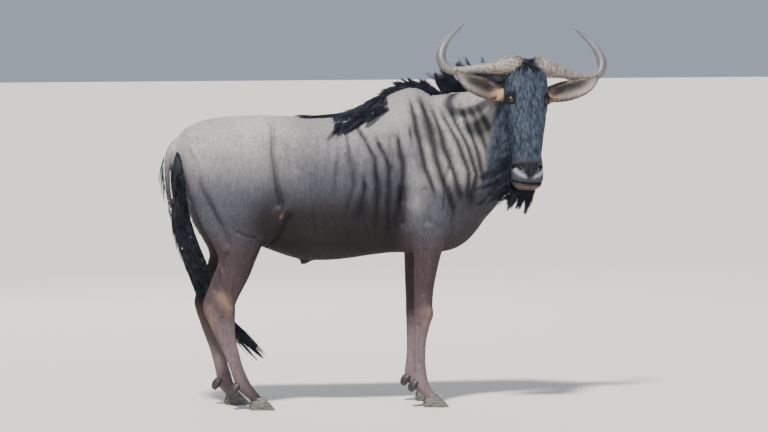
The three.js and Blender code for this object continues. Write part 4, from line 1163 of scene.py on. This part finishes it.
# %% Ears
def ear_piece(side):
    rings, sides = 90, 64
    t = np.linspace(0, 1, rings + 1)
    rows, course, sideways, front = ear.frames(t)
    angle = np.arange(sides) / sides * 2 * math.pi
    c, s = np.cos(angle), np.sin(angle)
    cup = (smoothstep(0.1, 0.34, t) * smoothstep(1.02, 0.8, t))[:, None]
    thick, high, low = rows[:, 5][:, None], rows[:, 3][:, None], rows[:, 4][:, None]
    depth = thick * c[None, :]
    rolled = 5 * cup * np.abs(s)[None, :] ** 3
    inner = -thick * np.abs(c)[None, :] * 0.62 + 3.0 + rolled
    depth = np.where(c[None, :] > 0, depth * (1 - cup) + inner * cup, depth + rolled)
    reach = np.where(s[None, :] >= 0, high, low) * s[None, :]
    points = rows[:, None, :3] + sideways[:, None] * depth[..., None] + front[:, None] * reach[..., None]
    points = points.reshape(-1, 3)
    template, faces = ear.mesh(rings, sides)
    points = np.vstack([points, template[-2:]])
    obj = make_object(f"ear_leaf_{SIDES[side]}", to_frame(from_head(points, side)), faces)
    if side < 0:
        obj.data.flip_normals()
    inside = np.tile((c > 0.05).astype(float), rings + 1) * np.repeat(cup[:, 0], sides)
    inside = np.concatenate([inside, [0, 0]])
    # The middle of the cup, away from its rims, is marked for painted shade.
    middle_length = smoothstep(0.95, 0.6, t) * smoothstep(0.2, 0.4, t)
    hollow_shade = np.tile(smoothstep(0.75, 0.15, np.abs(s + 0.25)), rings + 1) * np.repeat(middle_length, sides)
    give(obj, "hollow_shade", np.concatenate([hollow_shade, [0, 0]]) * inside)
    give(obj, "along", ear.shares(rings, sides))
    give(obj, "inside", inside)
    give(obj, "rim", np.concatenate([np.tile(np.abs(s) ** 40, rings + 1), [0, 0]]))
    return obj


# %% Ear's material
# Ear fur: thin, fine hair over cartilage. It gives the eye a dull face with a faint pale edge, from the light
# that its hair tips catch. Hairs are a tenth of a millimetre across, and are drawn at 3 mm.
EAR_HAIR_MM = 3
ear_fur, tree = new_material("thin_ear_fur")
along = add(tree, "ShaderNodeAttribute", attribute_name="along").outputs["Fac"]
tints = add(tree, "ShaderNodeValToRGB", [("Fac", along)])
stops = [(0.0, "#3a2c24"), (0.2, "#95704f"), (0.45, "#7f6656"), (0.8, "#5b4d45"), (1.0, "#241f1d")]
for k, (at, code) in enumerate(stops):
    stop = tints.color_ramp.elements[k] if k < 2 else tints.color_ramp.elements.new(at)
    stop.position, stop.color = at, linear(code)
inside = add(tree, "ShaderNodeAttribute", attribute_name="inside").outputs["Fac"]
rim = add(tree, "ShaderNodeAttribute", attribute_name="rim").outputs["Fac"]
hollow = add(tree, "ShaderNodeMix", [("Factor", inside), (6, tints.outputs[0])], data_type="RGBA")
cup_tints = add(tree, "ShaderNodeValToRGB", [("Fac", along)])
for k, (at, code) in enumerate([(0.12, "#8a6446"), (0.45, "#5b4e47"), (0.85, "#857b74")]):
    stop = cup_tints.color_ramp.elements[k] if k < 2 else cup_tints.color_ramp.elements.new(at)
    stop.position, stop.color = at, linear(code)
tree.links.new(cup_tints.outputs[0], hollow.inputs[7])
# The middle of the cup is darkened: painted shade in the ear's hollow.
hollow_shade = add(tree, "ShaderNodeAttribute", attribute_name="hollow_shade").outputs["Fac"]
hollow = add(tree, "ShaderNodeMix", [("Factor", hollow_shade), (6, hollow.outputs[2])], data_type="RGBA")
hollow.inputs[7].default_value = linear("#1c1614")
edge = add(tree, "ShaderNodeMix", [("Factor", rim), (6, hollow.outputs[2])], data_type="RGBA")
edge.inputs[7].default_value = linear("#241d1a")
spots = add(tree, "ShaderNodeTexCoord").outputs["Object"]
hairs = add(tree, "ShaderNodeTexNoise", [("Vector", spots)], Scale=1000 / EAR_HAIR_MM, Detail=4.0)
tone = add(tree, "ShaderNodeMapRange", [("Value", hairs.outputs["Fac"])], From_Min=0.3, From_Max=0.7)
tone.inputs["To Min"].default_value = 0.75
tone.inputs["To Max"].default_value = 1.2
toned = add(tree, "ShaderNodeHueSaturation", [("Color", edge.outputs[2]), ("Value", tone.outputs[0])])
soft = add(tree, "ShaderNodeBump", [("Height", hairs.outputs["Fac"])], Strength=0.4, Distance=0.0012)
finish_material(tree, [("Base Color", toned.outputs[0])], soft.outputs[0], Roughness=0.62, Sheen_Weight=0.3)
for side, name in SIDES.items():
    piece = ear_piece(side)
    piece.data.materials.append(ear_fur)
    place(piece, f"ear_{name}", slot="ear")
print("ears built")

# %% [markdown]
# ## Eyes
# A wildebeest's eye is large, dark brown and wet, with a wide pupil that lies level. A clear coat gives the
# wet shine.

# %% Eyes
def eye_piece(side):
    turns, heights = np.linspace(0, 2 * math.pi, 49)[:-1], np.linspace(0, math.pi, 33)
    a, b = np.meshgrid(turns, heights, indexing="ij")
    ball = np.stack([np.sin(b) * np.cos(a), np.sin(b) * np.sin(a), np.cos(b)], -1).reshape(-1, 3)
    i, j = np.meshgrid(np.arange(48), np.arange(32), indexing="ij")
    n = (i + 1) % 48
    faces = np.stack([i * 33 + j, i * 33 + j + 1, n * 33 + j + 1, n * 33 + j], -1).reshape(-1, 4)
    look = unit(np.array([0.86, 0.5, 0.0]))
    facing = ball @ look
    cornea = 1 + 0.045 * smoothstep(0.72, 0.95, facing)
    points = ball * cornea[:, None] * EYE_RADIUS + EYE_AT
    faces = [tuple(face) for face in faces]
    obj = make_object(f"eyeball_{SIDES[side]}", to_frame(from_head(points, side)), faces)
    if side < 0:
        obj.data.flip_normals()
    side_way = unit(np.cross(look, Z))
    give(obj, "iris", smoothstep(0.66, 0.72, facing))
    pupil = (ball @ side_way / 0.42) ** 2 + (ball[:, 2] / 0.2) ** 2
    give(obj, "pupil", smoothstep(1.1, 0.8, pupil) * (facing > 0))
    return obj


# %% Eye's material
# A living cornea: clear, smooth and wet with tears over a dark brown iris. It gives the eye one small sharp
# glint, from a thin clear coat, over a softer and darker ball.
wet_eye, tree = new_material("wet_eye")
iris = add(tree, "ShaderNodeAttribute", attribute_name="iris").outputs["Fac"]
pupil = add(tree, "ShaderNodeAttribute", attribute_name="pupil").outputs["Fac"]
ball = add(tree, "ShaderNodeMix", [("Factor", iris)], data_type="RGBA")
ball.inputs[6].default_value = linear("#120d0b")
ball.inputs[7].default_value = linear("#22140d")
seen = add(tree, "ShaderNodeMix", [("Factor", pupil), (6, ball.outputs[2])], data_type="RGBA")
seen.inputs[7].default_value = linear("#050507")
wet = dict(Roughness=0.2, Specular_IOR_Level=0.3, Coat_Weight=0.35, Coat_Roughness=0.04)
finish_material(tree, [("Base Color", seen.outputs[2])], **wet)
for side, name in SIDES.items():
    piece = eye_piece(side)
    piece.data.materials.append(wet_eye)
    place(piece, f"eye_{name}", slot="eye")
print("eyes built")

# %% [markdown]
# ## Hooves and dewclaws
# Each foot is two pointed hooves of grey horn with growth rings level with the ground, and two blunt
# dewclaws behind the fetlock.

# %% Hooves
TOE = [[0, -34, 70, 15], [16, -34, 58, 16], [34, -29, 40, 15], [52, -22, 22, 12]]  # z, heel, tip, half width
DEWCLAW = [
    [4, 0, 6, 12, 10, 10, 2, 2],
    [-8, 0, -8, 15, 14, 13, 2, 2],
    [-18, 0, -24, 13, 12, 12, 2, 2],
    [-22, 0, -38, 5, 5, 5, 2, 2],
]
toe_rows = []
for z, heel, tip, half in TOE:
    toe_rows.append([(heel + tip) / 2, 0, z, (tip - heel) / 2, (tip - heel) / 2, half, 1.8, 2.6])
toe_skin = Skin(toe_rows, square=Z)


def toe_piece(name, foot, way):
    rings, sides = 40, 56
    points, faces = toe_skin.mesh(rings, sides)
    centre = toe_skin.frames(toe_skin.shares(rings, sides))[0][:, :3]
    away = (points - centre) * [1, 1, 0]
    rings_relief = 0.35 * np.sin(points[:, 2] / 1.25) * smoothstep(1, 6, points[:, 2])
    chamfer = -1.2 * smoothstep(2.0, 0.0, points[:, 2])
    off_middle = np.linalg.norm(away, axis=1) > 1
    points = points + unit(away) * (rings_relief + chamfer)[:, None] * off_middle[:, None]
    points = turned_z(points, 6 * way) + [foot[0], foot[1] + 17 * way, 0]
    return make_object(name, to_frame(points), faces)


# %% Hoof's material
# Hoof horn: keratin that grows down in level rings and is worn dull on stony ground. It gives the eye soft
# grey bands without a glint. The rings are a millimetre or two apart in life and are drawn at 7 mm; the
# scratches, as fine as a hair, at 2.5 mm.
BAND_MM, SCRATCH_MM, CHIP_MM = 7, 2.5, 4
hoof_horn, tree = new_material("hoof_horn")
spots = add(tree, "ShaderNodeTexCoord").outputs["Object"]
level = add(tree, "ShaderNodeMapping", [("Vector", spots)], Scale=(0.3, 0.3, 1))
bands = add(tree, "ShaderNodeTexNoise", [("Vector", level.outputs[0])], Scale=1000 / BAND_MM, Detail=4.0)
tints = add(tree, "ShaderNodeValToRGB", [("Fac", bands.outputs["Fac"])])
for stop, (at, code) in zip(tints.color_ramp.elements, ((0.3, "#2f2c2a"), (0.7, "#69635e"))):
    stop.position, stop.color = at, linear(code)
scratches = add(tree, "ShaderNodeTexNoise", [("Vector", spots)], Scale=1000 / SCRATCH_MM, Detail=4.0)
worn = add(tree, "ShaderNodeBump", [("Height", scratches.outputs["Fac"])], Strength=0.3, Distance=0.0008)
finish_material(tree, [("Base Color", tints.outputs[0])], worn.outputs[0], Roughness=0.55)
# Dewclaw horn: the same keratin, but it seldom touches the ground, so it stays dark and a little smoother.
# Its chips, a millimetre or so in life, are drawn at 4 mm.
claw_horn, tree = new_material("black_claw_horn")
spots = add(tree, "ShaderNodeTexCoord").outputs["Object"]
chips = add(tree, "ShaderNodeTexNoise", [("Vector", spots)], Scale=1000 / CHIP_MM, Detail=4.0)
worn = add(tree, "ShaderNodeBump", [("Height", chips.outputs["Fac"])], Strength=0.4, Distance=0.001)
finish_material(tree, [], worn.outputs[0], Base_Color=linear("#26211f"), Roughness=0.5)

# %% Hooves and dewclaws in place
for (kind, side), leg in LEGS.items():
    foot = leg.frames([1.0])[0][0, :3]
    rows_count = len(leg.table)
    fetlock = leg.frames([(rows_count - 4.9) / (rows_count - 1)])[0][0, :3]
    owner = f"{kind}leg_{SIDES[side]}"
    for way in (1, -1):
        where = "outer" if way == side else "inner"
        toe = toe_piece(f"{owner}_hoof_{where}", foot, way)
        toe.data.materials.append(hoof_horn)
        place(toe, f"{owner}_toe_{where}", slot="hoof")
        points, faces = Skin(DEWCLAW).mesh(24, 32)
        claw = make_object(f"{owner}_claw_{where}", to_frame(points + fetlock + [-21, 18 * way, -16]), faces)
        claw.data.materials.append(claw_horn)
        place(claw, f"{owner}_dewclaw_{where}", slot="hoof")
print("hooves built")

# %% [markdown]
# ## Long hair
# Mane, beard and tail are long, coarse black hair. Each strand here is a thin, flat, tapered blade that
# bends from its root to its lie; thousands overlap into locks. Blades of mesh are used because a hair system
# would not be kept in an export.

# %% Strands
def strands_mesh(
    name, roots, outs, lies, lengths, widths, rise, flats, curl=None, locks=0, wave=0.0, on_tail=False
):
    """Four-sided tapered blades as one mesh. All inputs are arrays, one row a strand, in millimetres. With
    locks, each strand bends towards the nearest of so many leaders; wave swings a lock from side to side."""
    steps, thick = 5, 0.5  # lengths in a blade, and its thickness for each unit of its width
    count = len(roots)
    t = np.linspace(0, 1, steps + 1)
    along = (2 * t - t**2)[None, :, None] * (lengths * rise)[:, None, None] * outs[:, None, :]
    fall = (t**1.4)[None, :, None] * lengths[:, None, None] * lies[:, None, :]
    path = roots[:, None, :] + along + fall
    if curl is not None:
        path = path + (t**2)[None, :, None] * lengths[:, None, None] * curl[:, None, :]
    leader = np.arange(count)
    if locks:
        first = hair_rng.choice(count, min(locks, count), replace=False)
        leader = first[np.argmin(np.linalg.norm(roots[:, None] - roots[first][None], axis=2), 1)]
        path = path + (0.8 * t**1.1)[None, :, None] * (path[leader] - path)
    if wave:
        swing = unit(np.cross(lies, flats))[leader]
        phase = (leader * 2.4)[:, None] + t[None, :] * lengths[leader][:, None] / 17
        path = path + swing[:, None] * (np.sin(phase) * t[None, :] * wave)[..., None]
    course = unit(np.gradient(path, axis=1))
    flat = unit(np.cross(course, flats[:, None, :]))
    normal = np.cross(course, flat)
    taper = (1 - 0.9 * t**1.6)[None, :, None]
    w = widths[:, None, None] / 2 * taper
    over = normal * w * thick
    corners = np.stack([path + flat * w, path + over, path - flat * w, path - over], 2)
    base = (np.arange(count) * (steps + 1) * 4)[:, None, None]
    r, k = np.meshgrid(np.arange(steps), np.arange(4), indexing="ij")
    n = (k + 1) % 4
    one = np.stack([r * 4 + k, r * 4 + n, (r + 1) * 4 + n, (r + 1) * 4 + k], -1).reshape(1, -1, 4)
    ends = base + np.array([[[3, 2, 1, 0], np.arange(4) + steps * 4]])
    faces = np.concatenate([base + one, ends], 1).reshape(-1, 4)
    obj = make_object(name, to_frame(corners.reshape(-1, 3)), faces)
    local = np.stack([np.tile([0, 0.5, 1, 0.5], steps + 1), np.repeat(t, 4)], 1)
    bake_map(obj, unwrap(roots, on_tail), local)
    give(obj, "along", np.tile(np.repeat(t, 4), count))
    return obj


# %% Long hair's material
# Long guard hair: round black fibres a fifth of a millimetre thick, with a little oil on them. They give the
# eye a soft highlight that runs along each lock. A fibre doesn't show at this distance, so one blade, from
# 1.5 to 4.6 mm wide, stands for a small lock; the tone changes every 22 mm, from one lock to the next.
LOCK_MM = 22
hair_rng = np.random.default_rng(14)
mane_hair, tree = new_material("coarse_black_hair")
spots = add(tree, "ShaderNodeTexCoord").outputs["Object"]
locks_tone = add(tree, "ShaderNodeTexNoise", [("Vector", spots)], Scale=1000 / LOCK_MM, Detail=3.0)
tints = add(tree, "ShaderNodeValToRGB", [("Fac", locks_tone.outputs["Fac"])])
for stop, (at, code) in zip(tints.color_ramp.elements, ((0.3, "#08090e"), (0.8, "#222837"))):
    stop.position, stop.color = at, linear(code)
finish_material(tree, [("Base Color", tints.outputs[0])], Roughness=0.4, Specular_IOR_Level=0.25)
rng = np.random.default_rng(21)
FEW = 1.0
print("share of the strands", FEW)


# %% Mane
def crest_strands(name, loft, low, high, count, length, lean, rise, locks, loose=0.3):
    """Strands along the crest of a loft, from low to high of its length; length, lean and rise are functions
    of the share of that stretch."""
    crest_width, fall = 0.36, -0.6
    share = rng.random(count)
    t = low + (high - low) * share
    off = (rng.random(count) - 0.5) * crest_width
    roots, outs, course, side, front = loft.points(t, math.pi / 2 + off)
    top = np.full(count, math.pi / 2)
    back_way = unit(loft.points(t - 0.03, top)[0] - loft.points(t + 0.03, top)[0])
    up_way = unit(np.cross(side, back_way))
    up_way = up_way * np.sign(up_way[:, 2:3])
    tilt = np.minimum(1, lean(share) + loose * (rng.random(count) - 0.5))[:, None]
    lie_way = back_way * tilt + up_way * (1.02 - tilt) + side * ((rng.random(count) + fall)[:, None] * 0.34)
    lie_way = unit(lie_way + rng.normal(size=(count, 3)) * 0.05)
    roots = roots - outs * 6
    lengths = length(share) * (0.62 + 0.45 * rng.random(count))
    widths = 1.8 + 1.6 * rng.random(count)
    curl = rng.normal(size=(count, 3)) * 0.05
    ways_out = unit(up_way - side * off[:, None])
    obj = strands_mesh(
        name, roots, ways_out, lie_way, lengths, widths, rise(share), side, curl=curl, locks=locks
    )
    obj.data.materials.append(mane_hair)
    place(obj, slot="tail_hair")


def neck_length(s):
    return 55 + 62 * smoothstep(0.12, 0.4, s) * smoothstep(0.95, 0.7, s)


def neck_lean(s):
    return 1.0 - 0.6 * smoothstep(0.12, 0.45, s)


count = int(2200 * FEW)
crest_strands("neck_mane", neck, 0.12, 0.95, count, neck_length, neck_lean, lambda s: 0.1 + 0.22 * s, 75)
count = int(2600 * FEW)
crest_strands(
    "withers_mane", trunk, 0.48, 0.86, count, lambda s: 120 - 40 * s, lambda s: 1.03,
    lambda s: 0.02 + 0.02 * s, locks=90, loose=0.1,
)
print("mane built")


# %% Lying hair
def lying_strands(
    name, loft, t, angle, lengths, lie_way, wander, locks,
    slot="tail_hair", rise=0.12, width=3.0, curl=None, wave=0.0,
):
    """Strands that lie down over a loft, rooted at shares t of its length and at angles round it."""
    roots, outs, course, side, front = loft.points(t, angle)
    count = len(t)
    if loft is head:
        outs = outs @ HEAD_AXES
        roots = from_head(roots)
    lies = unit(np.asarray(lie_way, float) + rng.normal(size=(count, 3)) * wander)
    roots = roots - outs * 5
    widths = width * (0.7 + 0.6 * rng.random(count))
    if curl is not None:
        curl = np.asarray(curl) + rng.normal(size=(count, 3)) * 0.06
    rises = np.full(count, rise)
    obj = strands_mesh(
        name, roots, outs, lies, lengths, widths, rises, outs, curl=curl, locks=locks, wave=wave
    )
    obj.data.materials.append(mane_hair)
    place(obj, slot=slot)


count = int(1500 * FEW)
t, angle = 0.52 + 0.17 * rng.random(count), 1.62 + 0.5 * rng.random(count) ** 1.5
lengths = 80 + 60 * rng.random(count)
lying_strands("withers_fall", trunk, t, angle, lengths, (-0.7, -0.26, -0.66), 0.14, 26)
count = int(900 * FEW)
t, angle = 0.84 + 0.13 * rng.random(count), -2.6 + 2.0 * rng.random(count)
lengths = 70 + 34 * rng.random(count)
swept = dict(width=2.2, curl=(-0.2, 0, 0), wave=8)
lying_strands("chin_beard", head, t, angle, lengths, (-0.16, 0.05, -1), 0.14, 22, **swept)
count = int(1300 * FEW)
t, angle = 0.6 + 0.28 * rng.random(count), -2.9 + 1.5 * rng.random(count)
lengths = 80 + 55 * rng.random(count)
swept = dict(width=2.0, curl=(-0.5, 0, 0.1), wave=12)
lying_strands("throat_beard", head, t, angle, lengths, (-0.5, 0, -0.75), 0.12, 30, **swept)
count = int(500 * FEW)
t, angle = 0.02 + 0.12 * rng.random(count), 0.5 + 2.1 * rng.random(count)
lengths = 24 + 26 * rng.random(count)
lying_strands("forelock", head, t, angle, lengths, (0, -0.4, -0.7), 0.35, 40, "face", rise=0.35, width=2.4)
print("lying hair built")


# %% Ear hair
# Fine, pale hair: soft fibres under a tenth of a millimetre thick, without oil. They give the eye a dull haze
# along the rim. A blade here is 1.3 to 2.3 mm wide, so that it shows, and the tone changes every 14 mm.
HAZE_MM = 14


def ear_strands(side, count):
    """Pale hairs that lean in from both rims of the ear's cup."""
    t = 0.12 + 0.8 * rng.random(count)
    way = np.where(rng.random(count) < 0.5, 1, -1)
    roots, outs, course, sideways, front = ear.points(t, way * (math.pi / 2 - 0.25 * rng.random(count)))
    lean = (0.35 + 0.3 * rng.random(count))[:, None]
    lies = unit(course * 0.8 - front * way[:, None] * lean + sideways * 0.12)
    lengths = (22 + 18 * rng.random(count)) * (1 - 0.4 * t)
    mirror = [side, 1, 1]
    turned = [(v * mirror) @ HEAD_AXES for v in (sideways, lies)]
    places = from_head(roots - outs * 2, side)
    widths = 1.3 + rng.random(count)
    rises = np.full(count, 0.12)
    obj = strands_mesh(
        f"ear_hair_{SIDES[side]}", places, turned[0], turned[1], lengths, widths, rises, turned[0]
    )
    obj.data.materials.append(pale_hair)
    place(obj, slot="ear")


pale_hair, tree = new_material("pale_ear_hair")
spots = add(tree, "ShaderNodeTexCoord").outputs["Object"]
tone = add(tree, "ShaderNodeTexNoise", [("Vector", spots)], Scale=1000 / HAZE_MM, Detail=3.0)
tints = add(tree, "ShaderNodeValToRGB", [("Fac", tone.outputs["Fac"])])
for stop, (at, code) in zip(tints.color_ramp.elements, ((0.35, "#3d342e"), (0.7, "#7d736b"))):
    stop.position, stop.color = at, linear(code)
finish_material(tree, [("Base Color", tints.outputs[0])], Roughness=0.5)
for side in SIDES:
    ear_strands(side, int(420 * FEW))
print("ear hair built")


# %% Tail
def tail_strands(count):
    """The tassel: long hairs that run down the tuft's own course and cover its core."""
    t = rng.random(count) * 0.9
    angle = rng.random(count) * 2 * math.pi
    roots, outs, course, side, front = tail.points(t, angle)
    roots = roots - outs * (4 + 8 * rng.random(count))[:, None]
    lies = course + outs * (0.1 * rng.random(count) - 0.06)[:, None]
    lies = unit(lies + rng.normal(size=(count, 3)) * 0.035)
    lengths = 95 + 50 * rng.random(count)
    widths = 2.6 + 2 * rng.random(count)
    rises = np.full(count, 0.04)
    obj = strands_mesh(
        "tail_hair", roots, outs, lies, lengths, widths, rises, outs, locks=170, on_tail=True
    )
    obj.data.materials.append(mane_hair)
    place(obj, "tail_tuft", slot="tail_hair")


def dock_strands(count):
    """Longer hairs down both edges of the tail's dock; its outer face stays short and pale."""
    t = 0.34 + 0.6 * rng.random(count)
    edge = np.where(rng.random(count) < 0.85, 1, -1)
    roots, outs, course, side, front = dock.points(t, edge * (math.pi / 2 - 0.5 * rng.random(count)))
    lies = unit(course + front * (0.03 + 0.05 * edge)[:, None] + rng.normal(size=(count, 3)) * 0.04)
    lengths = 70 + 40 * rng.random(count)
    widths = 2 + 1.5 * rng.random(count)
    rises = np.full(count, 0.06)
    roots = roots - outs * 2
    obj = strands_mesh("dock_hair", roots, outs, lies, lengths, widths, rises, outs, locks=40, on_tail=True)
    obj.data.materials.append(mane_hair)
    place(obj, slot="tail_hair")


tail_strands(int(3600 * FEW))
dock_strands(int(900 * FEW))
print("long hair built")
